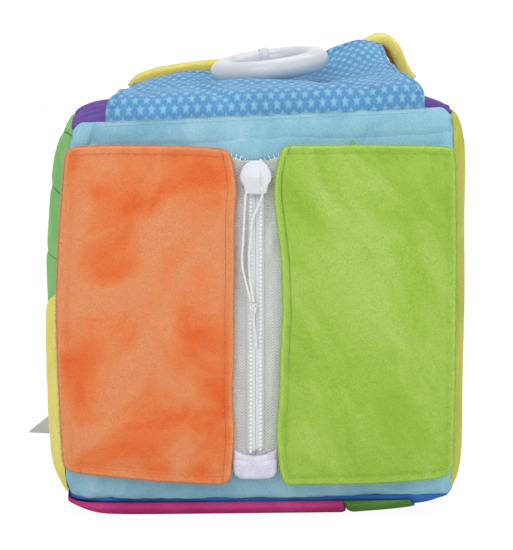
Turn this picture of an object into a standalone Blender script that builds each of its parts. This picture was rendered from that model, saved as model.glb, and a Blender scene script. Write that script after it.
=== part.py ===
"""Soft activity cube.

A stuffed fabric cube with a zip between two door flaps on its front. On top are a star
flap with a ring on a ribbon and, behind it, a padded handle strap. Metres, +Z up, the
front faces -Y. The origin is on the floor, under the middle of the cube.
"""

import math

import bmesh
import bpy
from mathutils import Matrix, Vector

# The stuffed body. ROUNDING is the exponent of its rounded box: higher is squarer.
HALF_WIDTH = 0.078
HALF_DEPTH = 0.078
HALF_HEIGHT = 0.0756
ROUNDING = 9.0
CORNER_FILL = 0.8  # how far the stuffing fills its corners: 0 is round, 1 is out to the seams
BASE_FLAT = 0.0010  # how far its weight presses the base flat
FRONT_FLAT = 0.0006  # how far the zip holds the front flat
TOP_LEAN = 0.0032  # the stuffing has settled: the top's right side is higher than its left
LEFT_DRAW_TOP = 0.0050  # how far the left side draws in towards the top
LEFT_DRAW_BASE = 0.0022  # and towards the base
PANEL_THICK = 0.0020
GAP = 0.0003  # left between any two sewn layers

# Patches sewn on the panels
BASE_PATCH_THICK = 0.0017
PATCH_INSET = 0.0026  # sewn edge of a patch, inside the panel's seam
BASE_PATCH_SPLIT = 0.0335  # where the two base patches meet, right of the middle
BASE_PATCH_END = 0.0600  # right edge of the second one
PATCH_CORNER = 0.04  # rounding of a patch's corners, as a share of the panel's half size
LEFT_PATCH_THICK = 0.0006
LEFT_PATCH_TOP = 0.0860  # height of its upper edge at the seams
LEFT_PATCH_DIP = 0.0120  # how much lower that edge is half way back
LEAF_X = 0.0337
LEAF_BELOW_SEAM = 0.0225  # its middle, below the front's top seam
LEAF_LENGTH = 0.030
LEAF_WIDTH = 0.013
LEAF_THICK = 0.0008

# The zip in the front panel
ZIP_X = -0.0012
ZIP_BELOW_SEAM = 0.0150  # top of the slider, below the front's top seam
SLOT_WIDTH = 0.0130
SURROUND_WIDTH = 0.039
SURROUND_LOBE = 0.0100
SURROUND_LOBE_DROP = 0.0080  # middle of a lobe, below the slider's top
SURROUND_ABOVE_TAB = 0.0030  # foot of the patch and the tapes, above the tab's bottom
SURROUND_THICK = 0.0008
TAPE_WIDTH = 0.0150
TAPE_THICK = 0.0006
COIL_WIDTH = 0.0026
COIL_HEIGHT = 0.0018
COIL_PITCH = 0.00145
CHAIN_GAP = 0.0012  # the channel that the slider's post runs in
TAB_ABOVE_SEAM = 0.0090  # bottom of the plush tab, above the front's bottom seam
TAB_CLEAR = 0.0005  # between the tab and the flaps' free edges
TAB_HEIGHT = 0.0090
TAB_HORN = 0.0025  # its upper corners stand this much above the middle
TAB_CORNER = 0.0040
TAB_THICK = 0.0028
TAB_HEM = 0.0008  # rounding of its edge
POCKET_WIDTH = 0.070
POCKET_CORNER = 0.006
POCKET_THICK = 0.0008
POCKET_SPACE = 0.0010

# The slider and its cord
SLIDER_LENGTH = 0.0122
SLIDER_WIDTH = 0.0116
SLIDER_WAIST = 0.0088
SLIDER_PLATE = 0.0011
SLIDER_CLEAR = 0.0004
SLIDER_EDGE = 0.0005  # rounding of its front edge
POST_THICK = 0.0006
BRIDGE_WIDTH = 0.0058
CORD_DIAMETER = 0.0014
KNOT_WIDTH = 0.0034
KNOT_LENGTH = 0.0044
KNOT_X = -0.0004
KNOT_ENTRY = 0.0010  # a strand's distance from the knot's middle where it goes in
# Routes of the cord's loop and of its tail, as (across from the zip, down)
LEFT_STRAND = (
    (-0.0041, 0.0015), (-0.0038, 0.0060), (-0.0034, 0.0179),
    (-0.0040, 0.0277), (-0.0034, 0.0350), (-0.0023, 0.0405),
)
TUNNEL_STRAND = ((-0.0030, 0.0), (0.0, 0.0), (0.0026, 0.0))
RIGHT_STRAND = (
    (0.0035, 0.0012), (0.0033, 0.0050), (0.0018, 0.0088), (0.0002, 0.0125), (-0.0009, 0.0165),
    (-0.0012, 0.0220), (-0.0010, 0.0290), (-0.0005, 0.0350), (0.0003, 0.0405),
)
TAIL = ((-0.0004, 0.0), (0.0002, 0.0052), (0.0012, 0.0108))

# The two door flaps: margins are at the sewn edge, and a free corner hangs lower by its droop
FLAP_GAP = 0.0166
FLAP_INSET = 0.0007  # sewn edge, inside the front's side seam
FLAP_BOW = 0.0008
LEFT_FLAP_TOP_MARGIN = 0.0096
LEFT_FLAP_TOP_DROOP = 0.0014
LEFT_FLAP_BOTTOM_MARGIN = 0.0132
LEFT_FLAP_BOTTOM_DROOP = 0.0044
RIGHT_FLAP_TOP_MARGIN = 0.0108
RIGHT_FLAP_TOP_DROOP = -0.0012
RIGHT_FLAP_BOTTOM_MARGIN = 0.0113
RIGHT_FLAP_BOTTOM_DROOP = 0.0021
FLAP_CORNER = 0.0060
FLAP_THICK = 0.0018
FLAP_LINING_THICK = 0.0008
FLAP_HEM = 0.0008  # rounding of the plush at its edge

# The star flap, sewn in the front's top seam
STAR_WIDTH = 0.1150
STAR_OFFSET = 0.0027
STAR_NARROWING = 0.12
STAR_CORNER = 0.0060
STAR_FACE_THICK = 0.0009
STAR_FILM_THICK = 0.0003
STAR_LINING_THICK = 0.0009
# Its underside from the seam backwards, as (behind, above) the seam
STAR_PROFILE = (
    (-0.0012, 0.0012),
    (-0.0016, 0.0042),
    (0.0008, 0.0072),
    (0.0060, 0.0080),
    (0.0130, 0.0088),
    (0.0205, 0.0096),
    (0.0290, 0.0078),
    (0.0420, 0.0068),
    (0.0550, 0.0070),
    (0.0670, 0.0078),
    (0.0790, 0.0086),
)
# Its waves, as (across, behind the seam, rise, reach across, reach back)
STAR_WAVES = (
    (0.0420, 0.0770, 0.0134, 0.0165, 0.0170),
    (-0.0285, 0.0715, 0.0056, 0.0140, 0.0130),
    (-0.0310, 0.0270, -0.0015, 0.0130, 0.0100),
    (0.0330, 0.0270, -0.0015, 0.0090, 0.0110),
    (-0.0030, 0.0190, 0.0014, 0.0130, 0.0080),
    (0.0520, 0.0080, 0.0014, 0.0110, 0.0090),
)

# The ring and its ribbon
RING_OUTER = 0.0450
RING_TUBE_WIDTH = 0.0088
RING_TUBE_HEIGHT = 0.0080
RING_X = 0.0072
RING_BEHIND_SEAM = 0.0500
RING_ABOVE_SEAM = 0.0172
RING_PITCH = 0.5  # degrees, rear side up
RING_ROLL = 7.8  # degrees, right side up
RIBBON_WIDTH = 0.0032
RIBBON_THICK = 0.0004
RIBBON_CLEAR = 0.0003
RIBBON_FROM_EDGE = 0.0020  # where it is sewn, inside the star flap's rear edge

# The handle strap
STRAP_LEFT = -0.0440
STRAP_RIGHT = 0.0660
STRAP_BEHIND_SEAM = 0.0990
STRAP_WIDTH = 0.0160
STRAP_THICK = 0.0056
STRAP_END_WIDTH = 0.0052
# Its middle line between the ends, as (across, above the top seam)
STRAP_ARCH = (
    (-0.0408, 0.0100),
    (-0.0315, 0.0128),
    (-0.0188, 0.0147),
    (-0.0090, 0.0156),
    (0.0100, 0.0164),
    (0.0300, 0.0182),
    (0.0440, 0.0222),
    (0.0545, 0.0266),
    (0.0602, 0.0236),
    (0.0640, 0.0160),
)

# The blank label in the left rear seam
LABEL_HEIGHT = 0.0125  # of its middle, above the floor
LABEL_WIDTH = 0.0092
LABEL_LENGTH = 0.0177
LABEL_THICK = 0.0004
LABEL_FOLD = 0.0009  # space between its two layers
LABEL_TURN = 72.0  # degrees, from straight back towards the left
LABEL_DROOP = 0.0010
LABEL_SLANT = 0.80  # share of its width that its upper edge falls towards the fold

EDGE = 2 ** (-1 / ROUNDING)  # a seam's distance from the middle, as a share of the half size
CENTRE_Z = HALF_HEIGHT - BASE_FLAT + GAP + BASE_PATCH_THICK
FRONT_SEAM_Y = -HALF_DEPTH * EDGE
TOP_SEAM_Z = CENTRE_Z + HALF_HEIGHT * EDGE
BOTTOM_SEAM_Z = CENTRE_Z - HALF_HEIGHT * EDGE
CROWN_CUTS = (-0.93, -0.84, -0.72, -0.5, 0.0, 0.5, 0.72, 0.84, 0.93)

for old in list(bpy.data.objects):
    bpy.data.objects.remove(old, do_unlink=True)


def fabric(name, colour, roughness=0.9):
    """A plain material with the piece's colour."""
    material = bpy.data.materials.new(name)
    material.use_nodes = True
    shader = material.node_tree.nodes["Principled BSDF"]
    shader.inputs["Base Color"].default_value = (*colour, 1.0)
    shader.inputs["Roughness"].default_value = roughness
    shader.inputs["Metallic"].default_value = 0.0
    return material


def add_object(name, data, material, origin=(0, 0, 0)):
    """A linked object whose data is in world coordinates, with its origin moved to a point."""
    thing = bpy.data.objects.new(name, data)
    bpy.context.scene.collection.objects.link(thing)
    if material:
        data.materials.append(material)
    data.transform(Matrix.Translation(-Vector(origin)))
    thing.location = origin
    return thing


def finish_mesh(bm, name):
    """The mesh of a closed bmesh, with its faces outwards and its round faces smooth."""
    bmesh.ops.recalc_face_normals(bm, faces=bm.faces[:])
    if bm.calc_volume(signed=True) < 0:
        bmesh.ops.reverse_faces(bm, faces=bm.faces[:])
    mesh = bpy.data.meshes.new(name)
    bm.to_mesh(mesh)
    bm.free()
    mesh.shade_smooth()
    mesh.set_sharp_from_angle(angle=math.radians(40))
    return mesh


def smooth_path(points, spacing):
    """Points spaced along a Catmull-Rom curve through the given ones."""
    points = [Vector(p) for p in points]
    ends = [2 * points[0] - points[1]] + points + [2 * points[-1] - points[-2]]
    fine = []
    for a, b, c, d in zip(ends, ends[1:], ends[2:], ends[3:]):
        for step in range(24):
            k = step / 24
            bend = (c - a) * k + (2 * a - 5 * b + 4 * c - d) * k**2 + (3 * b - a - 3 * c + d) * k**3
            fine.append(b + 0.5 * bend)
    fine.append(points[-1])
    along = [0.0]
    for a, b in zip(fine, fine[1:]):
        along.append(along[-1] + (b - a).length)
    count = max(2, round(along[-1] / spacing))
    path, i = [], 0
    for n in range(count + 1):
        want = along[-1] * n / count
        while i < len(along) - 2 and along[i + 1] < want:
            i += 1
        share = (want - along[i]) / max(along[i + 1] - along[i], 1e-12)
        path.append(fine[i].lerp(fine[i + 1], min(share, 1.0)))
    return path


def leaned(p):
    """A point of the upright body, moved by the stuffing's lean, which grows from the floor up."""
    k = min(max(p.z / (2 * CENTRE_Z), 0.0), 1.0)
    return p + Vector((0, 0, TOP_LEAN * p.x / HALF_WIDTH * k * k * (3 - 2 * k)))


def drawn_in(z):
    """The share of its width that the left side keeps at a height of the upright body."""
    level = (z - CENTRE_Z) / HALF_HEIGHT
    draw = LEFT_DRAW_TOP if level > 0 else LEFT_DRAW_BASE
    return 1 - draw / HALF_WIDTH * min(abs(level), 1.0) ** 1.5


def across_body(x, z):
    """Where a point across the settled body was on the upright one."""
    return x / drawn_in(z) if x < 0 else x


def skin_point(direction, lift):
    """The point of the body's skin in a direction of the unit cube, lifted off the skin."""
    powers = [abs(c) ** ROUNDING for c in direction]
    size = (sum(powers) - CORNER_FILL * math.prod(powers)) ** (-1 / ROUNDING)
    x, y, z = (c * size for c in direction)
    p = Vector((x * (HALF_WIDTH + lift), y * (HALF_DEPTH + lift), z * (HALF_HEIGHT + lift)))
    p.y = max(p.y, -(HALF_DEPTH - FRONT_FLAT) - lift)
    p.z = max(p.z, -(HALF_HEIGHT - BASE_FLAT) - lift)
    p.z += CENTRE_Z
    keep = drawn_in(p.z) if p.x < 0 else 1.0
    settled = leaned(p)
    settled.x *= keep
    return settled


def swell(half, share, other_share=0.0):
    """The half size that is left of the rounded box where its other axes take these shares."""
    a, b = abs(share) ** ROUNDING, abs(other_share) ** ROUNDING
    rest = 1 - a - b
    left = (rest + math.sqrt(rest**2 + 4 * CORNER_FILL * a * b)) / 2
    return half * max(left, 1e-9) ** (1 / ROUNDING)


def front_point(x, z, lift):
    """The point of the front face that is lifted off it at x and z."""
    upright_z = 2 * z - leaned(Vector((x, 0, z))).z
    upright_x = across_body(x, upright_z)
    shares = upright_x / (HALF_WIDTH + lift), (upright_z - CENTRE_Z) / (HALF_HEIGHT + lift)
    y = swell(HALF_DEPTH + lift, *shares)
    return Vector((x, -min(y, HALF_DEPTH - FRONT_FLAT + lift), z))


def top_point(x, y, lift):
    """The point of the top face that is lifted off it at x and y."""
    upright_x = across_body(x, 2 * CENTRE_Z)
    z = swell(HALF_HEIGHT + lift, upright_x / (HALF_WIDTH + lift), y / (HALF_DEPTH + lift))
    return leaned(Vector((x, y, CENTRE_Z + z)))


def stacked(below, thick):
    """The lifts of a layer's two sides when it is sewn over another."""
    return below + GAP, below + GAP + thick


def rounded(corners, radius, steps=4):
    """An outline whose corners are rounded off; radius is one size or one for each corner."""
    radii = radius if isinstance(radius, (list, tuple)) else [radius] * len(corners)
    outline = []
    for i, (corner, r) in enumerate(zip(corners, radii)):
        here = Vector(corner)
        if r <= 0:
            outline.append(here)
            continue
        before = here + (Vector(corners[i - 1]) - here).normalized() * r
        after = here + (Vector(corners[(i + 1) % len(corners)]) - here).normalized() * r
        for n in range(steps + 1):
            k = n / steps
            outline.append(before * (1 - k) ** 2 + here * 2 * k * (1 - k) + after * k**2)
    return outline


def sewn_layer(name, outline, place, lifts, material, cuts=((), ()),
               hole=None, hem=0.0, hem_drop=0.0, origin=(0, 0, 0)):
    """A layer cut flat to an outline, laid on a surface by place(a, b, lift) with its thickness.

    cuts are the lines along which the flat layer may bend, hole is a rectangle left out of it,
    and over the width hem its upper side falls by hem_drop towards the outline.
    """
    bm = bmesh.new()
    face = bm.faces.new([bm.verts.new((p[0], p[1], 0)) for p in outline])
    if hem:
        bmesh.ops.inset_region(bm, faces=[face], thickness=hem, use_even_offset=True)
    lines = [(Vector((1, 0, 0)), a) for a in cuts[0]] + [(Vector((0, 1, 0)), b) for b in cuts[1]]
    if hole:
        lines += [(Vector((1, 0, 0)), a) for a in hole[0]] + [(Vector((0, 1, 0)), b) for b in hole[1]]
    for normal, value in lines:
        everything = bm.verts[:] + bm.edges[:] + bm.faces[:]
        bmesh.ops.bisect_plane(bm, geom=everything, dist=1e-6, plane_co=normal * value, plane_no=normal)
    if hole:
        (a0, a1), (b0, b1) = hole
        middles = [(f, f.calc_center_median()) for f in bm.faces]
        inside = [f for f, m in middles if a0 < m.x < a1 and b0 < m.y < b1]
        bmesh.ops.delete(bm, geom=inside, context="FACES")
    bmesh.ops.triangulate(bm, faces=bm.faces[:])
    bm.verts.index_update()
    flat = [v.co.copy() for v in bm.verts]
    rim = [v.is_boundary for v in bm.verts]
    triangles = [[v.index for v in f.verts] for f in bm.faces]
    borders = [[loop.vert.index, loop.link_loop_next.vert.index]
               for f in bm.faces for loop in f.loops if len(loop.edge.link_faces) == 1]
    bm.free()
    solid = bmesh.new()
    low = [solid.verts.new(place(p.x, p.y, lifts[0])) for p in flat]
    tops = [lifts[1] - (hem_drop if edge else 0.0) for edge in rim]
    high = [solid.verts.new(place(p.x, p.y, top)) for p, top in zip(flat, tops)]
    for a, b, c in triangles:
        solid.faces.new((high[a], high[b], high[c]))
        solid.faces.new((low[c], low[b], low[a]))
    for a, b in borders:
        solid.faces.new((high[b], high[a], low[a]))
        solid.faces.new((high[b], low[a], low[b]))
    return add_object(name, finish_mesh(solid, name), material, origin)


def box(bounds):
    """A closed box mesh between two corners."""
    low, high = Vector(bounds[0]), Vector(bounds[1])
    bm = bmesh.new()
    bmesh.ops.create_cube(bm, size=1.0)
    for v in bm.verts:
        v.co = Vector(((low[i] + high[i]) / 2 + v.co[i] * (high[i] - low[i]) for i in range(3)))
    return bm


def cut_with(thing, other, operation):
    """Joins or cuts one object with another, which is then only a guide."""
    modifier = thing.modifiers.new(other.name, "BOOLEAN")
    modifier.operation = operation
    modifier.solver = "EXACT"
    modifier.object = other
    other.hide_render = True
    other.display_type = "WIRE"


# Six panels, each a square of velour swollen by the stuffing, meet at the seams
LIGHT_BLUE = fabric("light_blue_velour", (0.25, 0.52, 0.65))
PURPLE = fabric("purple_velour", (0.14, 0.06, 0.38))
GREEN = fabric("green_velour", (0.16, 0.43, 0.14))
OLIVE = fabric("olive_yellow_velour", (0.51, 0.48, 0.05))
MAGENTA = fabric("magenta_velour", (0.58, 0.05, 0.22))
ROYAL_BLUE = fabric("royal_blue_velour", (0.05, 0.20, 0.60))
YELLOW = fabric("yellow_velour", (0.72, 0.65, 0.14))
SIDES = {
    "front": lambda a, b: (a, -1, b),
    "back": lambda a, b: (a, 1, b),
    "left": lambda a, b: (-1, a, b),
    "right": lambda a, b: (1, a, b),
    "top": lambda a, b: (a, b, 1),
    "bottom": lambda a, b: (a, b, -1),
}
PANEL_COLOURS = {
    "front": LIGHT_BLUE,
    "back": MAGENTA,
    "left": GREEN,
    "right": OLIVE,
    "top": PURPLE,
    "bottom": ROYAL_BLUE,
}
REACH = 1 - GAP / (math.sqrt(2) * EDGE * min(HALF_WIDTH, HALF_DEPTH, HALF_HEIGHT))

surround_lifts = stacked(0.0, SURROUND_THICK)
tape_lifts = stacked(surround_lifts[1], TAPE_THICK)
coil_lifts = stacked(tape_lifts[1], COIL_HEIGHT)
tab_lifts = stacked(tape_lifts[1], TAB_THICK)
slider_top_z = TOP_SEAM_Z - ZIP_BELOW_SEAM
slider_bottom_z = slider_top_z - SLIDER_LENGTH
tab_bottom_z = BOTTOM_SEAM_Z + TAB_ABOVE_SEAM
tab_top_z = tab_bottom_z + TAB_HEIGHT
half_tab = FLAP_GAP / 2 - TAB_CLEAR
slot = ((-SLOT_WIDTH / 2, SLOT_WIDTH / 2), (tab_top_z - GAP, slider_top_z + 2 * GAP))
slot_shares = (
    tuple((ZIP_X + a) / HALF_WIDTH for a in slot[0]),
    tuple((b - CENTRE_Z) / HALF_HEIGHT for b in slot[1]),
)
square = [(-REACH, -REACH), (REACH, -REACH), (REACH, REACH), (-REACH, REACH)]


def on_side(side):
    """Lays a pattern of the unit square on one side of the body."""
    return lambda a, b, lift: skin_point(SIDES[side](a, b), lift)


def zip_point(x, z, lift):
    """The point of the front face at a distance across from the zip's middle."""
    return front_point(ZIP_X + x, z, lift)


for side, colour in PANEL_COLOURS.items():
    sewn_layer(f"{side}_panel", square, on_side(side), (-PANEL_THICK, 0.0), colour, (CROWN_CUTS, CROWN_CUTS),
               hole=slot_shares if side == "front" else None)

# The filling is one soft block, hollowed behind the zip for the pocket
FILLING = fabric("white_filling", (0.85, 0.85, 0.83))
bm = bmesh.new()
bmesh.ops.create_cube(bm, size=2.0)
bmesh.ops.subdivide_edges(bm, edges=bm.edges[:], cuts=9, use_grid_fill=True)
levels = (-1.0, *CROWN_CUTS, 1.0)
for v in bm.verts:
    v.co = skin_point([levels[round((c + 1) * 5)] for c in v.co], -PANEL_THICK - 2 * GAP)
filling = add_object("filling_block", finish_mesh(bm, "filling_block"), FILLING)

pocket_top_z = slot[1][1] + 2 * POCKET_THICK
pocket_bottom_z = slot[1][0] - 2 * POCKET_THICK
pocket_half = POCKET_WIDTH / 2
pocket = rounded(
    [(-pocket_half, pocket_bottom_z), (pocket_half, pocket_bottom_z),
     (pocket_half, pocket_top_z), (-pocket_half, pocket_top_z)], POCKET_CORNER)
pocket_cuts = ([a * HALF_WIDTH for a in CROWN_CUTS[3:6]],
               [CENTRE_Z + b * HALF_HEIGHT for b in CROWN_CUTS[2:7]])
lining_back = -PANEL_THICK - GAP - POCKET_SPACE
pocket_lining = sewn_layer("pocket_lining", pocket, zip_point, (lining_back - POCKET_THICK, lining_back),
                           fabric("white_lining", (0.8, 0.8, 0.78)), pocket_cuts)
pocket_middle_z = (pocket_top_z + pocket_bottom_z) / 2
wider = 1 + GAP / pocket_half
taller = 1 + 2 * GAP / (pocket_top_z - pocket_middle_z)
recess = [(p.x * wider, pocket_middle_z + (p.y - pocket_middle_z) * taller) for p in pocket]
pocket_cutter = sewn_layer("pocket_cutter", recess, zip_point, (lining_back - POCKET_THICK - GAP, 0.0), None,
                           pocket_cuts)
cut_with(filling, pocket_cutter, "DIFFERENCE")

# Patches on the left side and on the base, which the cube stands on
side_edge = 1 - PATCH_INSET / (HALF_DEPTH * EDGE)
left_edge = []
for n in range(13):
    a = side_edge * (2 * n / 12 - 1)
    height = LEFT_PATCH_TOP - LEFT_PATCH_DIP * (1 - (a / side_edge) ** 2)
    left_edge.append((a, (height - CENTRE_Z) / HALF_HEIGHT))
sewn_layer("left_patch", left_edge + [(side_edge, -side_edge), (-side_edge, -side_edge)], on_side("left"),
           stacked(0.0, LEFT_PATCH_THICK), YELLOW, (CROWN_CUTS, CROWN_CUTS[:4]))
base_lifts = stacked(0.0, BASE_PATCH_THICK)
base_edge = side_edge * HALF_WIDTH
BASE_PATCHES = (
    ("base_patch_left", -base_edge, BASE_PATCH_SPLIT - GAP, MAGENTA),
    ("base_patch_right", BASE_PATCH_SPLIT + GAP, BASE_PATCH_END, GREEN),
)
for name, start, end, colour in BASE_PATCHES:
    left, right = start / HALF_WIDTH, end / HALF_WIDTH
    corners = [(left, -side_edge), (right, -side_edge), (right, side_edge), (left, side_edge)]
    cuts = [a for a in CROWN_CUTS if left + PATCH_CORNER < a < right - PATCH_CORNER]
    sewn_layer(name, rounded(corners, PATCH_CORNER), on_side("bottom"), base_lifts, colour,
               (cuts, CROWN_CUTS))

leaf_z = TOP_SEAM_Z - LEAF_BELOW_SEAM
leaf = []
for n in range(20):
    turn = 2 * math.pi * n / 20
    half = LEAF_WIDTH / 2 * math.sin(turn) * abs(math.sin(turn)) ** 0.4
    leaf.append((LEAF_X + half, leaf_z + LEAF_LENGTH / 2 * math.cos(turn)))
leaf_cuts = ((), (leaf_z - LEAF_LENGTH / 5, leaf_z + LEAF_LENGTH / 5))
sewn_layer("leaf_patch", leaf[::-1], front_point, stacked(0.0, LEAF_THICK), GREEN, leaf_cuts)

# White patch round the zip, with two lobes at its top
WHITE_FELT = fabric("white_felt", (0.82, 0.83, 0.85))
lobe_x = SURROUND_WIDTH / 2 - SURROUND_LOBE
lobe_z = slider_top_z - SURROUND_LOBE_DROP
dip = math.acos(min(lobe_x / SURROUND_LOBE, 1.0))
right_lobe = []
for n in range(11):
    turn = (math.pi - dip) * n / 10
    right_lobe.append((lobe_x + SURROUND_LOBE * math.cos(turn), lobe_z + SURROUND_LOBE * math.sin(turn)))
left_lobe = [(-x, z) for x, z in right_lobe[:-1]][::-1]
foot_z = tab_bottom_z + SURROUND_ABOVE_TAB
surround_foot = [(-SURROUND_WIDTH / 2, foot_z), (SURROUND_WIDTH / 2, foot_z)]
# The face is flat along the zip and falls away past these heights
zip_cuts = ((), [CENTRE_Z + HALF_HEIGHT * k for k in (-0.78, -0.745, -0.71, 0.71, 0.745)])
sewn_layer("zip_surround", surround_foot + right_lobe + left_lobe, zip_point, surround_lifts, WHITE_FELT,
           zip_cuts, hole=slot)

# Zip tapes and coils: each coil is a row of teeth on a spine, the two rows half a pitch apart
WHITE_TAPE = fabric("white_zip_tape", (0.83, 0.84, 0.86))
NYLON = fabric("white_nylon", (0.86, 0.87, 0.88), 0.4)
chain_half = CHAIN_GAP / 2 + COIL_WIDTH
coil_bottom_z = tab_top_z + TAB_HORN * chain_half / half_tab + GAP
teeth = int((slot[1][1] - coil_bottom_z) / COIL_PITCH - 0.5)
for side, hand in (("left", -1), ("right", 1)):
    inner, outer = hand * CHAIN_GAP / 2, hand * (CHAIN_GAP / 2 + TAPE_WIDTH)
    tape = [(inner, foot_z), (outer, foot_z), (outer, slot[1][1]), (inner, slot[1][1])]
    sewn_layer(f"zip_tape_{side}", tape, zip_point, tape_lifts, WHITE_TAPE, zip_cuts)
    head, root, back = (hand * (CHAIN_GAP / 2 + COIL_WIDTH * k) for k in (0.0, 0.45, 1.0))
    first_z = coil_bottom_z + (COIL_PITCH / 2 if hand > 0 else 0.0)
    comb = [(back, first_z)]
    for n in range(teeth):
        z = first_z + COIL_PITCH * n
        comb += [(root, z + 0.10 * COIL_PITCH), (head, z + 0.22 * COIL_PITCH),
                 (head, z + 0.58 * COIL_PITCH), (root, z + 0.70 * COIL_PITCH)]
    comb += [(back, comb[-1][1] + 0.10 * COIL_PITCH)]
    between_teeth = [first_z + COIL_PITCH * (n + 0.9) for n in range(1, teeth - 1, 2)]
    sewn_layer(f"zip_coil_{side}", comb, zip_point, coil_lifts, NYLON, ((), between_teeth))

LILAC = fabric("lilac_plush", (0.68, 0.66, 0.80))
tab_corners = [(-half_tab, tab_bottom_z), (half_tab, tab_bottom_z)]
tab_corners += [(half_tab * (1 - n / 4), tab_top_z + TAB_HORN * (1 - n / 4) ** 2) for n in range(9)]
tab = rounded(tab_corners, [TAB_CORNER, TAB_CORNER] + [0] * 9)
tab_cuts = ((-0.4 * half_tab, 0.4 * half_tab), zip_cuts[1][:3])
sewn_layer("zip_tab", tab, zip_point, tab_lifts, LILAC, tab_cuts, hem=TAB_HEM, hem_drop=TAB_HEM)

# The slider: a crowned plate over the coils and a plate behind the tapes, joined by a post
WHITE_PLASTIC = fabric("white_plastic", (0.83, 0.84, 0.86), 0.25)
slider_middle_z = (slider_top_z + slider_bottom_z) / 2
slider_origin = zip_point(0.0, slider_middle_z, coil_lifts[1])
plate_lifts = (coil_lifts[1] + SLIDER_CLEAR, coil_lifts[1] + SLIDER_CLEAR + SLIDER_PLATE)


def slider_outline(shrink):
    """The slider's outline: a round head above a narrower straight foot."""
    head, foot = SLIDER_WIDTH / 2 - shrink, SLIDER_WAIST / 2 - shrink
    head_z = slider_top_z - SLIDER_WIDTH / 2
    right = [(foot, slider_bottom_z + shrink), (foot, slider_bottom_z + 0.32 * SLIDER_LENGTH)]
    for n in range(9):
        turn = math.radians(-25 + 115 * n / 8)
        right.append((head * math.cos(turn), head_z + head * math.sin(turn)))
    return right + [(-x, z) for x, z in right[:-1]][::-1]


slider = sewn_layer("zip_slider", slider_outline(0.0), zip_point, plate_lifts, WHITE_PLASTIC,
                    hem=SLIDER_EDGE, hem_drop=SLIDER_EDGE, origin=slider_origin)
tunnel_radius = CORD_DIAMETER / 2 + GAP
tunnel_lift = plate_lifts[1] + tunnel_radius
bridge_rise = 2 * tunnel_radius + 0.0010
bridge_half_length = 0.42 * SLIDER_LENGTH


def bridge_point(x, z, lift):
    """The slider's bridge: it rises from the plate and falls off towards its ends."""
    if lift <= plate_lifts[1]:
        return zip_point(x, z, lift)
    along = (z - slider_middle_z) / bridge_half_length
    across = x / (BRIDGE_WIDTH / 2)
    rise = bridge_rise * (1 - abs(along) ** 3) * (1 - 0.55 * across**2)
    return zip_point(x, z, plate_lifts[1] + max(rise, GAP))


bridge_outline = []
for n in range(24):
    turn = 2 * math.pi * n / 24
    c, s = math.cos(turn), math.sin(turn)
    bridge_outline.append((BRIDGE_WIDTH / 2 * math.copysign(abs(c) ** 0.5, c),
                           slider_middle_z + bridge_half_length * math.copysign(abs(s) ** 0.8, s)))
bridge_cuts = ([BRIDGE_WIDTH * k for k in (-0.3, 0.0, 0.3)],
               [slider_middle_z + bridge_half_length * k for k in (-0.8, -0.5, 0.0, 0.5, 0.8)])
bridge = sewn_layer("slider_bridge_guide", bridge_outline, bridge_point,
                    (plate_lifts[1] - SLIDER_PLATE / 2, HALF_DEPTH), None, bridge_cuts)
cut_with(slider, bridge, "UNION")
tunnel_z = slider_bottom_z + 0.24 * SLIDER_LENGTH
bm = bmesh.new()
bmesh.ops.create_cone(bm, cap_ends=True, segments=14, radius1=tunnel_radius, radius2=tunnel_radius,
                      depth=SLIDER_WIDTH)
bmesh.ops.rotate(bm, verts=bm.verts[:], matrix=Matrix.Rotation(math.radians(90), 3, "Y"))
bmesh.ops.translate(bm, verts=bm.verts[:], vec=zip_point(0.0, tunnel_z, tunnel_lift))
tunnel = add_object("slider_tunnel_cutter", finish_mesh(bm, "slider_tunnel_cutter"), None)
cut_with(slider, tunnel, "DIFFERENCE")
back_lifts = (tape_lifts[0] - SLIDER_CLEAR - SLIDER_PLATE, tape_lifts[0] - SLIDER_CLEAR)
back_plate = sewn_layer("slider_back_guide", slider_outline(SLIDER_CLEAR), zip_point, back_lifts, None)
cut_with(slider, back_plate, "UNION")
flat_y = -(HALF_DEPTH - FRONT_FLAT)
overlap = SLIDER_PLATE / 2
post = box(((ZIP_X - POST_THICK / 2, flat_y - plate_lifts[0] - overlap, slider_top_z - 0.40 * SLIDER_LENGTH),
            (ZIP_X + POST_THICK / 2, flat_y - back_lifts[1] + overlap, slider_top_z - 0.12 * SLIDER_LENGTH)))
cut_with(slider, add_object("slider_post_guide", finish_mesh(post, "slider_post_guide"), None), "UNION")
for side, hand in (("left", -1), ("right", 1)):
    wall = sorted(ZIP_X + hand * a for a in (chain_half + SLIDER_CLEAR, SLIDER_WAIST / 2 - GAP / 3))
    flange = box(((wall[0], flat_y - plate_lifts[0] - overlap, slider_bottom_z + GAP / 2),
                  (wall[1], flat_y - tape_lifts[1] - SLIDER_CLEAR, slider_bottom_z + 0.62 * SLIDER_LENGTH)))
    name = f"slider_flange_guide_{side}"
    cut_with(slider, add_object(name, finish_mesh(flange, name), None), "UNION")

# The cord through the slider's bridge, its knot and its tail
CORD_WHITE = fabric("white_cord", (0.85, 0.86, 0.88), 0.7)
cord_y = zip_point(0.0, tunnel_z, tunnel_lift).y


def cord(name, points, origin):
    """A round cord along a smooth curve, with closed ends."""
    curve = bpy.data.curves.new(name, "CURVE")
    curve.dimensions = "3D"
    curve.bevel_depth = CORD_DIAMETER / 2
    curve.bevel_resolution = 2
    curve.use_fill_caps = True
    path = smooth_path(points, 2.2 * CORD_DIAMETER)
    spline = curve.splines.new("POLY")
    spline.points.add(len(path) - 1)
    for point, p in zip(spline.points, path):
        point.co = (*p, 1.0)
    return add_object(name, curve, CORD_WHITE, origin)


def hung(points, from_z):
    """Points of a cord that hangs at the tunnel's distance from the front."""
    return [(ZIP_X + across, cord_y, from_z - down) for across, down in points]


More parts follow.
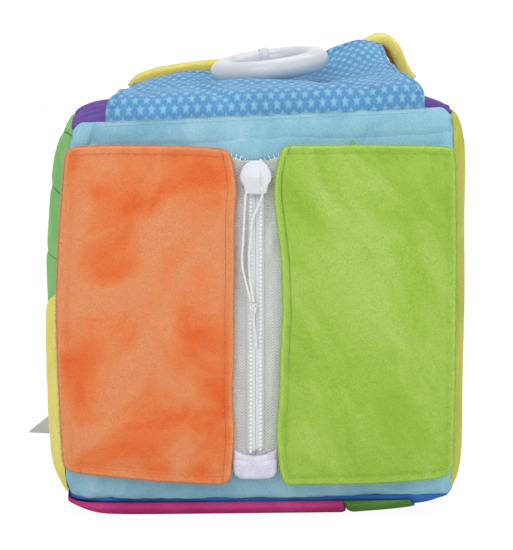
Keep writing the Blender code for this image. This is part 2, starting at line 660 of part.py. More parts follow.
knot_top = RIGHT_STRAND[-1][1] + CORD_DIAMETER
loop = [(KNOT_X - KNOT_ENTRY, knot_top), *LEFT_STRAND[::-1], *TUNNEL_STRAND, *RIGHT_STRAND,
        (KNOT_X + KNOT_ENTRY, knot_top)]
cord("pull_cord", hung(loop, tunnel_z), slider_origin)
knot_z = tunnel_z - knot_top - GAP - KNOT_LENGTH / 2
bm = bmesh.new()
bmesh.ops.create_uvsphere(bm, u_segments=12, v_segments=8, radius=1.0)
for v in bm.verts:
    flat_end = max(min(v.co.z, 0.8), -0.8) / 0.8
    v.co = Vector((ZIP_X + KNOT_X + v.co.x * KNOT_WIDTH / 2, cord_y + v.co.y * KNOT_WIDTH / 2,
                   knot_z + flat_end * KNOT_LENGTH / 2))
bmesh.ops.remove_doubles(bm, verts=bm.verts[:], dist=1e-7)
add_object("pull_cord_knot", finish_mesh(bm, "pull_cord_knot"), CORD_WHITE, slider_origin)
tail_top = knot_z - KNOT_LENGTH / 2 - GAP
cord("pull_cord_tail", hung(TAIL, tail_top), slider_origin)

# The door flaps: a lining and a plush face, sewn to the side seam and free at the zip
ORANGE = fabric("orange_plush", (0.78, 0.22, 0.06))
LIME = fabric("lime_plush", (0.36, 0.58, 0.06))
lining_lifts = stacked(tape_lifts[1], FLAP_LINING_THICK)
face_lifts = stacked(lining_lifts[1], FLAP_THICK)
sewn_x = HALF_WIDTH * EDGE - FLAP_INSET
hinge_y = front_point(sewn_x, CENTRE_Z, face_lifts[1]).y - GAP
flap_cuts = ([s * HALF_WIDTH * k for s in (-1, 1) for k in (0.3, 0.55, 0.7, 0.78, 0.85)],
             [CENTRE_Z + HALF_HEIGHT * k for k in (-0.66, -0.5, -0.25, 0.0, 0.25, 0.5, 0.66)])
DOORS = (
    ("left", -1, ORANGE, LEFT_FLAP_TOP_MARGIN, LEFT_FLAP_TOP_DROOP,
     LEFT_FLAP_BOTTOM_MARGIN, LEFT_FLAP_BOTTOM_DROOP),
    ("right", 1, LIME, RIGHT_FLAP_TOP_MARGIN, RIGHT_FLAP_TOP_DROOP,
     RIGHT_FLAP_BOTTOM_MARGIN, RIGHT_FLAP_BOTTOM_DROOP),
)
for side, hand, colour, top_margin, top_droop, bottom_margin, bottom_droop in DOORS:
    free_x = ZIP_X + hand * FLAP_GAP / 2
    top_z, bottom_z = TOP_SEAM_Z - top_margin, BOTTOM_SEAM_Z + bottom_margin
    sewn_edge = []
    for n in range(7):
        k = 1 - 2 * n / 6
        z = (top_z + bottom_z) / 2 - k * (top_z - bottom_z) / 2
        x = hand * (sewn_x - FLAP_BOW * k * k)
        sewn_edge.append((x * drawn_in(z) if hand < 0 else x, z))
    corners = [(free_x, top_z - top_droop), (free_x, bottom_z - bottom_droop)] + sewn_edge
    radii = [FLAP_CORNER, FLAP_CORNER, FLAP_CORNER / 2] + [0] * 5 + [FLAP_CORNER / 2]
    outline = rounded([Vector(c) for c in corners], radii)
    hinge = (hand * (sewn_x + GAP), hinge_y, CENTRE_Z)
    sewn_layer(f"{side}_flap_lining", outline, front_point, lining_lifts, WHITE_FELT, flap_cuts, origin=hinge)
    sewn_layer(f"{side}_flap", outline, front_point, face_lifts, colour, flap_cuts,
               hem=2 * FLAP_HEM, hem_drop=FLAP_HEM, origin=hinge)

# The star flap: lining, crinkle film and printed face over the same waves
STAR_BLUE = fabric("star_print", (0.10, 0.33, 0.64))
FILM = fabric("clear_film", (0.8, 0.8, 0.82), 0.3)
star_line = smooth_path([(0.0, FRONT_SEAM_Y + back, TOP_SEAM_Z + up) for back, up in STAR_PROFILE], 0.0015)
STAR_LENGTH = sum((b - a).length for a, b in zip(star_line, star_line[1:]))


def star_point(across, along, lift):
    """The star flap at a distance across and along the flat cloth."""
    k = min(max(along / STAR_LENGTH, 0.0), 1.0) * (len(star_line) - 1)
    i = min(int(k), len(star_line) - 2)
    here = star_line[i].lerp(star_line[i + 1], k - i)
    slope = (star_line[min(i + 2, len(star_line) - 1)] - star_line[max(i - 1, 0)]).normalized()
    x = STAR_OFFSET + across * (1 - STAR_NARROWING * along / STAR_LENGTH)
    p = Vector((x, here.y, here.z)) + Vector((0.0, -slope.z, slope.y)) * lift
    for wave_x, wave_back, rise, reach_x, reach_back in STAR_WAVES:
        apart = ((x - wave_x) / reach_x) ** 2 + ((here.y - FRONT_SEAM_Y - wave_back) / reach_back) ** 2
        p.z += rise * math.exp(-apart)
    return leaned(p)


star_half = STAR_WIDTH / 2
star_corners = [(-star_half, 0.0), (star_half, 0.0), (star_half, STAR_LENGTH), (-star_half, STAR_LENGTH)]
star_outline = rounded(star_corners, [0, 0, STAR_CORNER, STAR_CORNER])
star_cuts = ([star_half * (n / 6.5 - 1) for n in range(1, 13)],
             [STAR_LENGTH * (n / 15) ** 1.25 for n in range(1, 15)])
star_lining = (0.0, STAR_LINING_THICK)
star_film = stacked(star_lining[1], STAR_FILM_THICK)
star_face = stacked(star_film[1], STAR_FACE_THICK)
star_hinge = star_point(-STAR_OFFSET, 0.0, star_face[1] + GAP)
STAR_LAYERS = (
    ("star_flap_lining", star_lining, LIGHT_BLUE),
    ("star_flap_film", star_film, FILM),
    ("star_flap", star_face, STAR_BLUE),
)
for name, lifts, cloth in STAR_LAYERS:
    sewn_layer(name, star_outline, star_point, lifts, cloth, star_cuts, origin=star_hinge)

# The ring lies on the star flap, in a ribbon loop that is sewn to the flap's rear edge
RING_WHITE = fabric("white_ring", (0.88, 0.89, 0.90), 0.15)
ring_radius = (RING_OUTER - RING_TUBE_WIDTH) / 2
ring_middle = leaned(Vector((RING_X, FRONT_SEAM_Y + RING_BEHIND_SEAM, TOP_SEAM_Z + RING_ABOVE_SEAM)))
ring_pose = (Matrix.Translation(ring_middle) @ Matrix.Rotation(math.radians(-RING_ROLL), 4, "Y")
             @ Matrix.Rotation(math.radians(RING_PITCH), 4, "X"))
bm = bmesh.new()
rim = [bm.verts.new((ring_radius + RING_TUBE_WIDTH / 2 * math.cos(t), 0, RING_TUBE_HEIGHT / 2 * math.sin(t)))
       for t in (2 * math.pi * n / 14 for n in range(14))]
edges = [bm.edges.new((a, b)) for a, b in zip(rim, rim[1:] + rim[:1])]
bmesh.ops.spin(bm, geom=rim + edges, cent=(0, 0, 0), axis=(0, 0, 1), angle=2 * math.pi, steps=40,
               use_merge=True)
bmesh.ops.remove_doubles(bm, verts=bm.verts[:], dist=1e-6)
ring = add_object("ring", finish_mesh(bm, "ring"), RING_WHITE)
ring.matrix_world = ring_pose

ribbon_across = (RING_X - STAR_OFFSET) / (1 - STAR_NARROWING)
pinch = star_point(ribbon_across, STAR_LENGTH - RIBBON_FROM_EDGE, star_face[1] + GAP + RIBBON_THICK)
pinch_local = ring_pose.inverted() @ pinch
pinch_back, pinch_up = pinch_local.y - ring_radius, pinch_local.z


def ribbon_side(clear, end):
    """One side of the ribbon's loop round the ring: an oval drawn out to the sewn end."""
    wide, high = RING_TUBE_WIDTH / 2 + clear, RING_TUBE_HEIGHT / 2 + clear
    start = math.atan2(pinch_up, pinch_back) + math.radians(50)
    side = [(pinch_back - end, pinch_up)]
    for n in range(19):
        turn = start + (2 * math.pi - math.radians(100)) * n / 18
        side.append((wide * math.cos(turn), high * math.sin(turn)))
    return side


bm = bmesh.new()
rows = []
for x in (-RIBBON_WIDTH / 2, RIBBON_WIDTH / 2):
    for clear, end in ((RIBBON_CLEAR, 4 * RIBBON_THICK), (RIBBON_CLEAR + RIBBON_THICK, 0.0)):
        loop = ribbon_side(clear, end)
        rows.append([bm.verts.new((pinch_local.x + x, ring_radius + y, z)) for y, z in loop])
for a, b in ((0, 1), (1, 3), (3, 2), (2, 0)):
    count = len(rows[a])
    for n in range(count):
        m = (n + 1) % count
        bm.faces.new((rows[a][n], rows[a][m], rows[b][m], rows[b][n]))
bm.transform(ring_pose)
add_object("ring_ribbon", finish_mesh(bm, "ring_ribbon"), WHITE_TAPE, pinch)

# The handle strap: a padded band, gathered at both ends where it is sewn to the top
strap_y = FRONT_SEAM_Y + STRAP_BEHIND_SEAM
foot_rise = STRAP_THICK / 2 + GAP
left_foot = top_point(STRAP_LEFT, strap_y, foot_rise)
right_foot = top_point(STRAP_RIGHT, strap_y, foot_rise)
arch = [(x, strap_y, TOP_SEAM_Z + up) for x, up in STRAP_ARCH]
strap_line = smooth_path([left_foot] + arch + [right_foot], 0.0042)
bm = bmesh.new()
rings = []
for i, here in enumerate(strap_line):
    ahead = (strap_line[min(i + 1, len(strap_line) - 1)] - strap_line[max(i - 1, 0)]).normalized()
    up = Vector((-ahead.z, 0.0, ahead.x))
    open_out = min(max((min(i, len(strap_line) - 1 - i) - 0.5) / 3.0, 0.0), 1.0)
    half = (STRAP_END_WIDTH + (STRAP_WIDTH - STRAP_END_WIDTH) * open_out) / 2
    section = []
    for n in range(12):
        turn = 2 * math.pi * n / 12
        c, s = math.cos(turn), math.sin(turn)
        across = half * math.copysign(abs(c) ** 0.6, c)
        above = STRAP_THICK / 2 * math.copysign(abs(s) ** 0.8, s)
        section.append(bm.verts.new(here + Vector((0, across, 0)) + up * above))
    rings.append(section)
for a, b in zip(rings, rings[1:]):
    for n in range(12):
        m = (n + 1) % 12
        bm.faces.new((a[n], a[m], b[m], b[n]))
bm.faces.new(rings[0])
bm.faces.new(rings[-1])
add_object("handle_strap", finish_mesh(bm, "handle_strap"), YELLOW, left_foot)

# The blank label: a ribbon folded double, caught in the left rear seam
label_share = (LABEL_HEIGHT + LABEL_WIDTH / 2 - CENTRE_Z) / HALF_HEIGHT
seam_share = EDGE * (1 - (1 - CORNER_FILL) * abs(label_share) ** ROUNDING) ** (1 / ROUNDING)
label_root = Vector((-HALF_WIDTH * seam_share * drawn_in(LABEL_HEIGHT),
                     HALF_DEPTH * seam_share, LABEL_HEIGHT))
label_root += Vector((-1, 1, 0)) * (GAP + LABEL_THICK + LABEL_FOLD / 2)
turn = math.radians(LABEL_TURN)
outwards, sideways = Vector((-math.sin(turn), math.cos(turn), 0)), Vector((math.cos(turn), math.sin(turn), 0))


def label_side(offset):
    """One side of the folded ribbon in plan: out, round the fold and back."""
    reach = LABEL_LENGTH - LABEL_FOLD / 2 - LABEL_THICK
    side = [(0.0, -offset), (0.5 * reach, -offset)]
    for n in range(7):
        angle = -math.pi / 2 + math.pi * n / 6
        side.append((reach + offset * math.cos(angle), offset * math.sin(angle)))
    return side + [(0.5 * reach, offset), (0.0, offset)]


bm = bmesh.new()
plan = label_side(LABEL_FOLD / 2 + LABEL_THICK) + label_side(LABEL_FOLD / 2)[::-1]
levels = []
for edge, slant in ((-LABEL_WIDTH / 2, 0.0), (LABEL_WIDTH / 2, LABEL_SLANT * LABEL_WIDTH)):
    level = []
    for out, across in plan:
        k = out / LABEL_LENGTH
        z = edge - slant * k - LABEL_DROOP * k**2
        level.append(bm.verts.new(label_root + outwards * out + sideways * across + Vector((0, 0, z))))
    levels.append(level)
count = len(plan)
for n in range(count):
    m = (n + 1) % count
    bm.faces.new((levels[0][n], levels[0][m], levels[1][m], levels[1][n]))
for level in levels:
    for n in range(count // 2 - 1):
        bm.faces.new((level[n], level[n + 1], level[count - 2 - n], level[count - 1 - n]))
add_object("side_label", finish_mesh(bm, "side_label"), WHITE_TAPE, label_root)
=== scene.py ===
"""Looks of a soft activity cube: a stuffed velour cube with a zip between two plush door flaps,
a star flap with a ring and a handle strap on top. Metres, +Z up, the front faces -Y.
"""

import math

import bmesh
import bpy
import numpy as np
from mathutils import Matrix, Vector


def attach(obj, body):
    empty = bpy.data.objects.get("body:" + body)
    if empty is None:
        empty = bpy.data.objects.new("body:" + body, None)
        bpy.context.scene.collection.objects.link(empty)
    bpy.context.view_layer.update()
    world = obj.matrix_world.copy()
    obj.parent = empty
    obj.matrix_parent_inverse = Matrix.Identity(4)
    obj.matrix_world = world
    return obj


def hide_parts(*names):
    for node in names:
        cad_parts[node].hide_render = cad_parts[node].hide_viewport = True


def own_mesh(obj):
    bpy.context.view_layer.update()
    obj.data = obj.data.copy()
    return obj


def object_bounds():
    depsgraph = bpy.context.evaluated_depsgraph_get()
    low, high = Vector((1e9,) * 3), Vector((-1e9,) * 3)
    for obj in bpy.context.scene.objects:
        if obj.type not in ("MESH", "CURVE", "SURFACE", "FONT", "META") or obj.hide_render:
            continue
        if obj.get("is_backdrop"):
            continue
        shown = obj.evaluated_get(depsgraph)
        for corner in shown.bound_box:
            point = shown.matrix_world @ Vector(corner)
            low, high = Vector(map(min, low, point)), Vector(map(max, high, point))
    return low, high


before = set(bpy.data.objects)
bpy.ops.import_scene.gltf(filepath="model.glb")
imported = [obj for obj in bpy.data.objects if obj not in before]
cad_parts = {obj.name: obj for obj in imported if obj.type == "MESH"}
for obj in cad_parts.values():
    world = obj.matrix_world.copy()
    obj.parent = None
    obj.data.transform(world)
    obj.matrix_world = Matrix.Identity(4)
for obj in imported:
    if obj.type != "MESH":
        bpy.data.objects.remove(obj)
cad_box = [list(corner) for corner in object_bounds()]
scene = bpy.context.scene

# The studio: a pale floor under large soft lamps, and a camera straight in front of the
# cube, a little above it and a little to the left. What the camera sees behind is white.
scene.view_settings.view_transform = "Standard"
aim = Vector((0.0034, 0.0, 0.0818))
yaw, tilt = math.radians(-3.0), math.radians(6.0)
to_camera = Vector((math.sin(yaw) * math.cos(tilt), -math.cos(yaw) * math.cos(tilt), math.sin(tilt)))
camera = bpy.data.objects.new("camera", bpy.data.cameras.new("camera"))
camera.data.lens = 167.7
camera.location = aim + to_camera
camera.rotation_euler = to_camera.to_track_quat("Z", "Y").to_euler()
scene.collection.objects.link(camera)
scene.camera = camera


def add_node(tree, kind, inputs=None, **settings):
    """Adds a node; each input gets a value, or a link from another node's output."""
    node = tree.nodes.new(kind)
    for name, value in settings.items():
        setattr(node, name, value)
    for key, value in (inputs or {}).items():
        if isinstance(value, bpy.types.NodeSocket):
            tree.links.new(value, node.inputs[key])
        else:
            node.inputs[key].default_value = value
    return node


def maths(tree, operation, *values):
    """One step of arithmetic on numbers and other nodes' outputs."""
    return add_node(tree, "ShaderNodeMath", dict(enumerate(values)), operation=operation).outputs[0]


def seen_directly(tree, share):
    """A factor that is share for what the camera, a gloss or clear plastic sees, and 0 for light."""
    ray = add_node(tree, "ShaderNodeLightPath").outputs
    direct = maths(tree, "MAXIMUM", ray["Is Camera Ray"], ray["Is Glossy Ray"])
    return maths(tree, "MULTIPLY", maths(tree, "MAXIMUM", direct, ray["Is Transmission Ray"]), share)


studio = bpy.data.worlds.new("studio")
scene.world = studio
studio.use_nodes = True
sky = studio.node_tree
sky.nodes.clear()
room = add_node(sky, "ShaderNodeBackground", {"Color": (0.95, 0.97, 1.0, 1.0), "Strength": 0.52})
white = add_node(sky, "ShaderNodeBackground", {"Color": (1.0, 1.0, 1.0, 1.0), "Strength": 1.0})
either = add_node(sky, "ShaderNodeMixShader",
                  {0: seen_directly(sky, 1.0), 1: room.outputs[0], 2: white.outputs[0]})
add_node(sky, "ShaderNodeOutputWorld", {0: either.outputs[0]})

floor_mesh = bpy.data.meshes.new("floor")
floor_mesh.from_pydata([(-4, -4, 0), (4, -4, 0), (4, 4, 0), (-4, 4, 0)], [], [(0, 1, 2, 3)])
floor = bpy.data.objects.new("floor", floor_mesh)
scene.collection.objects.link(floor)
floor_paint = bpy.data.materials.new("floor_paint")
floor_paint.use_nodes = True
tree = floor_paint.node_tree
tree.nodes.clear()
matt = add_node(tree, "ShaderNodeBsdfDiffuse", {"Color": (0.86, 0.86, 0.86, 1.0)})
glow = add_node(tree, "ShaderNodeEmission", {"Color": (1.0, 1.0, 1.0, 1.0), "Strength": 1.03})
either = add_node(tree, "ShaderNodeMixShader",
                  {0: seen_directly(tree, 0.94), 1: matt.outputs[0], 2: glow.outputs[0]})
add_node(tree, "ShaderNodeOutputMaterial", {0: either.outputs[0]})
floor_mesh.materials.append(floor_paint)
floor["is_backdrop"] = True

for name, spot, size, power in (
    ("key_lamp", (-0.75, -1.45, 1.35), 1.3, 15.0),
    ("fill_lamp", (1.35, -1.15, 0.75), 1.5, 7.8),
    ("top_lamp", (0.25, 0.55, 1.75), 1.4, 10.6),
):
    lamp = bpy.data.objects.new(name, bpy.data.lights.new(name, "AREA"))
    lamp.data.size = size
    lamp.data.energy = power
    lamp.location = spot
    lamp.rotation_euler = (Vector(spot) - aim).to_track_quat("Z", "Y").to_euler()
    scene.collection.objects.link(lamp)

# The cover: six squares of velour sewn edge to edge, each of another colour, swollen by the
# filling. The seams pull in and pucker; the base is pressed flat, the front is held by the zip
# and has a slot for it, and the left side has drawn in towards its top.
HALF = np.array((0.0780, 0.0780, 0.0756))
ROUNDING = 9.0
CORNER_FILL = 0.8
BASE_FLAT = 0.0010
FRONT_FLAT = 0.0006
TOP_LEAN = 0.0032
LEFT_DRAW_TOP = 0.0050
LEFT_DRAW_BASE = 0.0022
VELOUR_THICK = 0.0020
GAP = 0.0003
CENTRE_Z = 0.0766
SEAM = 2 ** (-1 / ROUNDING)  # where two panels meet, as a share of the half size
FRONT_SEAM_Y = -HALF[1] * SEAM
TOP_SEAM_Z = CENTRE_Z + HALF[2] * SEAM
BOTTOM_SEAM_Z = CENTRE_Z - HALF[2] * SEAM
SEAM_PULL = 0.0005
SEAM_GROOVE = 0.0013
PUCKER = 0.00022
PUCKER_SIZE = 0.0042
PUCKER_REACH = 0.009
SWELL = 0.0003
SWELL_SIZE = 0.030
ZIP_X = -0.0012
SLOT_HALF = 0.0065
SLIDER_TOP_Z = TOP_SEAM_Z - 0.0150
SLOT_TOP_Z = SLIDER_TOP_Z - 0.0002
TAB_BOTTOM_Z = BOTTOM_SEAM_Z + 0.0090
TAB_TOP_Z = TAB_BOTTOM_Z + 0.0090
# Soft creases down the front's upper strip, as (across at the seam, depth, half width)
FRONT_CREASES = ((-0.0572, 0.0022, 0.0014), (-0.0478, 0.0006, 0.0026), (-0.0405, 0.0004, 0.0022),
                 (-0.0280, 0.0006, 0.0034), (0.0042, 0.0006, 0.0036), (0.0158, 0.0004, 0.0030))
CREASE_SLANT = 0.22
CREASE_FOOT_Z = 0.115
CREASE_FADE = 0.015
CORNER_SLUMP = 0.075  # how far the left lower edge slumps in, where the filling has settled
SLUMP_START = 1.70  # where that begins, as shares of the half sizes outwards and down, added up
SIDE_SLUMP = 0.0011  # how far the left side lies in below its patch's upper edge
SIDE_SLUMP_Z = 0.095
SIDE_SLUMP_FADE = 0.015
# Quilting lines round the left side, as heights at its front and rear seam
QUILT_LINES = ((0.1480, 0.1390), (0.1226, 0.1300), (0.0966, 0.1050), (0.0600, 0.0560))
QUILT_WANDER = 0.0016
QUILT_DEPTH = 0.0008
QUILT_GROOVE = 0.0016
PANEL_CROWDING = 1.36  # how much closer a panel's points lie towards its seams
PANEL_REACH = 0.9985


def ink(red, green, blue):
    """A colour as it looks on screen, 0 to 255, as a shader wants it."""
    shares = np.array((red, green, blue)) / 255.0
    return (*np.where(shares <= 0.04045, shares / 12.92, ((shares + 0.055) / 1.055) ** 2.4), 1.0)


def eased(share):
    """A share from 0 to 1, made to start and end gently."""
    return share ** 2 * (3 - 2 * share)


def ramp(distance, reach):
    """A share that grows from 0 to 1 over a reach."""
    return np.clip(distance / reach, 0.0, 1.0)


def bell(distance, reach):
    """A smooth hump that is 1 at its middle and fades out over a reach."""
    return np.exp(-(distance / reach) ** 2)


def crossed(rows, columns):
    """Every pair of two rows of values, as two grids."""
    return np.meshgrid(rows, columns, indexing="ij")


def leaned(points):
    """Points of the upright body, moved by the settled filling: the right side is higher."""
    moved = points.copy()
    moved[..., 2] += TOP_LEAN * points[..., 0] / HALF[0] * eased(ramp(points[..., 2], 2 * CENTRE_Z))
    return moved


def drawn_in(z):
    """The share of its width that the left side keeps at a height of the upright body."""
    level = (z - CENTRE_Z) / HALF[2]
    draw = np.where(level > 0, LEFT_DRAW_TOP, LEFT_DRAW_BASE)
    return 1 - draw / HALF[0] * np.minimum(np.abs(level), 1.0) ** 1.5


def skin(direction, lift):
    """The points of the body's rounded box in these directions, lifted off it."""
    powers = np.abs(direction) ** ROUNDING
    size = (powers.sum(-1) - CORNER_FILL * powers.prod(-1)) ** (-1 / ROUNDING)
    points = direction * size[..., None] * (HALF + np.asarray(lift)[..., None])
    points[..., 1] = np.maximum(points[..., 1], -(HALF[1] - FRONT_FLAT) - lift)
    points[..., 2] = np.maximum(points[..., 2], -(HALF[2] - BASE_FLAT) - lift)
    points[..., 2] += CENTRE_Z
    settled = leaned(points)
    settled[..., 0] *= np.where(points[..., 0] < 0, drawn_in(points[..., 2]), 1.0)
    low_left = -settled[..., 0] / HALF[0] + (CENTRE_Z - settled[..., 2]) / HALF[2]
    slump = CORNER_SLUMP * np.maximum(low_left - SLUMP_START, 0.0) ** 2
    settled[..., 0] += slump
    settled[..., 2] += slump
    return settled


def lumps(u, v, size, seed):
    """A smooth uneven field of about -1 to 1 whose swells are about so big across."""
    dice = np.random.RandomState(seed)
    field = np.zeros(np.broadcast(u, v).shape)
    for _ in range(7):
        turn, phase = dice.uniform(0, 2 * math.pi, 2)
        pitch = math.pi / size * dice.uniform(0.6, 1.3)
        field += np.sin(pitch * (u * math.cos(turn) + v * math.sin(turn)) + phase)
    return field / 3.2


def link_mesh(name, mesh, material):
    """A new piece with its place in its mesh, its faces smooth and outwards."""
    piece = bpy.data.objects.new(name, mesh)
    scene.collection.objects.link(piece)
    mesh.materials.append(material)
    bm = bmesh.new()
    bm.from_mesh(mesh)
    bmesh.ops.delete(bm, geom=[v for v in bm.verts if not v.link_faces], context="VERTS")
    bmesh.ops.recalc_face_normals(bm, faces=bm.faces[:])
    if bm.calc_volume(signed=True) < 0:
        bmesh.ops.reverse_faces(bm, faces=bm.faces[:])
    bm.to_mesh(mesh)
    bm.free()
    mesh.shade_smooth()
    return piece


def layer(name, outer, inner, material, flat=None, cut_out=None, napped=None):
    """A closed cloth layer between two grids of points, less the quads that are cut out.

    flat is where each point was on the cut cloth, and napped how thick its stray fibres stand there and, in
    a plush with a rim colour, how much painted highlight it gets.
    """
    rows, columns = outer.shape[:2]
    count = rows * columns
    index = np.arange(count).reshape(rows, columns)
    quads = np.stack((index[:-1, :-1], index[1:, :-1], index[1:, 1:], index[:-1, 1:]), -1)
    quads = quads.reshape(-1, 4) if cut_out is None else quads[~cut_out]
    sides = np.stack((quads, np.roll(quads, -1, 1)), -1).reshape(-1, 2)
    rim = sides[~np.isin(sides @ (1, count), sides @ (count, 1))]
    walls = np.stack((rim[:, 1], rim[:, 0], rim[:, 0] + count, rim[:, 1] + count), -1)
    faces = np.concatenate((quads, quads[:, ::-1] + count, walls))
    points = np.concatenate((outer.reshape(-1, 3), inner.reshape(-1, 3)))
    mesh = bpy.data.meshes.new(name)
    mesh.from_pydata(points.tolist(), [], faces.tolist())
    if flat is not None:
        lay = mesh.uv_layers.new(name="cloth")
        corners = np.zeros(len(mesh.loops), np.int32)
        mesh.loops.foreach_get("vertex_index", corners)
        lay.data.foreach_set("uv", flat.reshape(-1, 2)[corners % count].astype(np.float32).ravel())
    if napped is not None:
        stray = mesh.attributes.new("napped", "FLOAT", "POINT")
        outside_only = np.concatenate((napped.ravel(), 0 * napped.ravel()))
        stray.data.foreach_set("value", outside_only.astype(np.float32))
    return link_mesh(name, mesh, material)


def new_finish(name, sockets):
    """A new material with these sockets of its shader set; returns it, its tree and its shader."""
    material = bpy.data.materials.new(name)
    material.use_nodes = True
    shader = material.node_tree.nodes["Principled BSDF"]
    for socket, value in sockets.items():
        shader.inputs[socket].default_value = value
    return material, material.node_tree, shader


def noise(tree, place, scale, detail=2.0, **more):
    """Uneven values about 0.5 over a surface."""
    inputs = {"Vector": place, "Scale": scale, "Detail": detail, **more}
    return add_node(tree, "ShaderNodeTexNoise", inputs).outputs["Fac"]


def spread(tree, value, low, high, to_low, to_high):
    """A value carried smoothly from one range to another and held at its ends."""
    inputs = {"Value": value, "From Min": low, "From Max": high, "To Min": to_low, "To Max": to_high}
    return add_node(tree, "ShaderNodeMapRange", inputs, interpolation_type="SMOOTHSTEP").outputs["Result"]


def dye(tree, shader, colour, tone):
    """Gives a shader its colour, made lighter and darker by a tone about 1."""
    dyed = add_node(tree, "ShaderNodeMix", {"Factor": 1.0, "A": colour, "B": tone},
                    data_type="RGBA", blend_type="MULTIPLY")
    tree.links.new(dyed.outputs["Result"], shader.inputs["Base Color"])


def roughen(tree, shader, height, strength, distance):
    """Gives a shader a fine relief."""
    bump = add_node(tree, "ShaderNodeBump", {"Height": height, "Strength": strength, "Distance": distance})
    tree.links.new(bump.outputs["Normal"], shader.inputs["Normal"])


def pile_cloth(name, shade, colour, light, nap=0.022, streak=(1.0, 1.0, 1.0), turn=0.0, grain=0.12,
               depth=0.22, sheen=0.30, stops=(0.36, 0.50, 0.66), rim=None):
    """Velour or plush: brushed patches from shade to light, and a lighter rim colour painted near the cut
    edges as a highlight.
    """
    material, tree, shader = new_finish(name, {
        "Roughness": 0.95, "Specular IOR Level": 0.12, "Sheen Weight": sheen, "Sheen Roughness": 0.5,
        "Sheen Tint": ink(*light)})
    place = add_node(tree, "ShaderNodeTexCoord").outputs["Object"]
    brushed = add_node(tree, "ShaderNodeMapping", {
        "Vector": place, "Rotation": (0.0, turn, 0.0), "Scale": streak}, vector_type="TEXTURE")
    patches = noise(tree, brushed.outputs[0], 1 / nap, 3.0, Roughness=0.55, Distortion=0.8)
    tone = add_node(tree, "ShaderNodeValToRGB", {"Fac": patches})
    ramp = tone.color_ramp
    ramp.elements[0].position, ramp.elements[0].color = stops[0], ink(*shade)
    ramp.elements[1].position, ramp.elements[1].color = stops[2], ink(*light)
    ramp.elements.new(stops[1]).color = ink(*colour)
    tufts = noise(tree, place, 2300.0, 2.0)
    brushed_colour = tone.outputs["Color"]
    # Near the cut edges, where the napped value is high, the colour is mixed towards the rim colour: a
    # painted highlight for the lighter look a plush edge has in the light.
    if rim:
        wear_and_rim_light = add_node(tree, "ShaderNodeAttribute", attribute_name="napped").outputs["Fac"]
        brushed_colour = add_node(tree, "ShaderNodeMix", {
            "Factor": spread(tree, wear_and_rim_light, 0.05, 0.7, 0.0, 0.9), "A": brushed_colour, "B": ink(*rim)},
            data_type="RGBA").outputs["Result"]
    dye(tree, shader, brushed_colour, spread(tree, tufts, 0.3, 0.7, 1 - grain, 1 + grain / 2))
    clumps = maths(tree, "MULTIPLY", noise(tree, place, 420.0, 3.0), 0.5)
    roughen(tree, shader, maths(tree, "ADD", clumps, tufts), depth, 0.0004)
    return material


GREEN_VELOUR = pile_cloth("green_velour", (128, 185, 112), (137, 193, 119), (146, 200, 128))
PANELS = {
    "front": (lambda a, b: (a, -1 + 0 * a, b), 11,
              pile_cloth("light_blue_velour", (138, 190, 212), (151, 201, 220), (166, 211, 228))),
    "back": (lambda a, b: (a, 1 + 0 * a, b), 12,
             pile_cloth("magenta_velour", (191, 54, 123), (202, 62, 132), (210, 76, 142))),
    "left": (lambda a, b: (-1 + 0 * a, a, b), 13, GREEN_VELOUR),
    "right": (lambda a, b: (1 + 0 * a, a, b), 14,
              pile_cloth("olive_yellow_velour", (186, 188, 81), (194, 196, 88), (202, 203, 98))),
    "top": (lambda a, b: (a, b, 1 + 0 * a), 15,
            pile_cloth("purple_velour", (96, 68, 145), (105, 76, 153), (115, 87, 162))),
    "bottom": (lambda a, b: (a, b, -1 + 0 * a), 16,
               pile_cloth("royal_blue_velour", (59, 112, 196), (66, 124, 206), (78, 135, 212))),
}


def quilt_height(a, front_z, rear_z):
    """The height of a quilting line at a share of the way across the left side."""
    return front_z + (rear_z - front_z) * (a + 1) / 2 + QUILT_WANDER * np.sin(5.0 * a)


def crease_depth(x, z):
    """How deep the front's creases lie at x and z."""
    return sum(depth * bell(x - crease_x - CREASE_SLANT * (z - TOP_SEAM_Z), half)
               for crease_x, depth, half in FRONT_CREASES)


def panel_relief(side, a, b, seed):
    """How far a panel stands off its rounded box: pulled in and puckered at the seams."""
    x, up = a * HALF[0], b * HALF[2]
    z = CENTRE_Z + up
    to_side, to_end = (1 - np.abs(a)) * HALF[0], (1 - np.abs(b)) * HALF[2]
    lift = -SEAM_PULL * (bell(to_side, SEAM_GROOVE) + bell(to_end, SEAM_GROOVE))
    puckered = np.exp(-to_side / PUCKER_REACH) + np.exp(-to_end / PUCKER_REACH)
    lift += PUCKER * (lumps(x, up, PUCKER_SIZE, seed) - 1) * puckered
    lift += SWELL * (lumps(x, up, SWELL_SIZE, seed + 40) - 1)
    if side == "front":
        lift -= crease_depth(x, z) * ramp(z - CREASE_FOOT_Z, CREASE_FADE)
    if side == "left":
        for front_z, rear_z in QUILT_LINES:
            lift -= QUILT_DEPTH * bell(z - quilt_height(a, front_z, rear_z), QUILT_GROOVE)
        lift -= SIDE_SLUMP * ramp(SIDE_SLUMP_Z - z, SIDE_SLUMP_FADE)
    return lift


steps = np.sin(np.linspace(-1, 1, 101) * PANEL_CROWDING) / math.sin(PANEL_CROWDING) * PANEL_REACH
across, along = crossed(steps, steps)
middle_x = (across[1:, 1:] + across[:-1, :-1]) / 2 * HALF[0]
middle_z = CENTRE_Z + (along[1:, 1:] + along[:-1, :-1]) / 2 * HALF[2]
zip_slot = ((np.abs(middle_x - ZIP_X) < SLOT_HALF) & (middle_z > TAB_TOP_Z) & (middle_z < SLOT_TOP_Z))
for side, (turned, seed, velour) in PANELS.items():
    direction = np.stack(turned(across, along), -1)
    lift = panel_relief(side, across, along, seed)
    panel = layer(f"{side}_cover", skin(direction, lift), skin(direction, -VELOUR_THICK + 0 * lift),
                  velour, cut_out=zip_slot if side == "front" else None)
    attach(panel, "cube")
    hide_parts(f"{side}_panel")

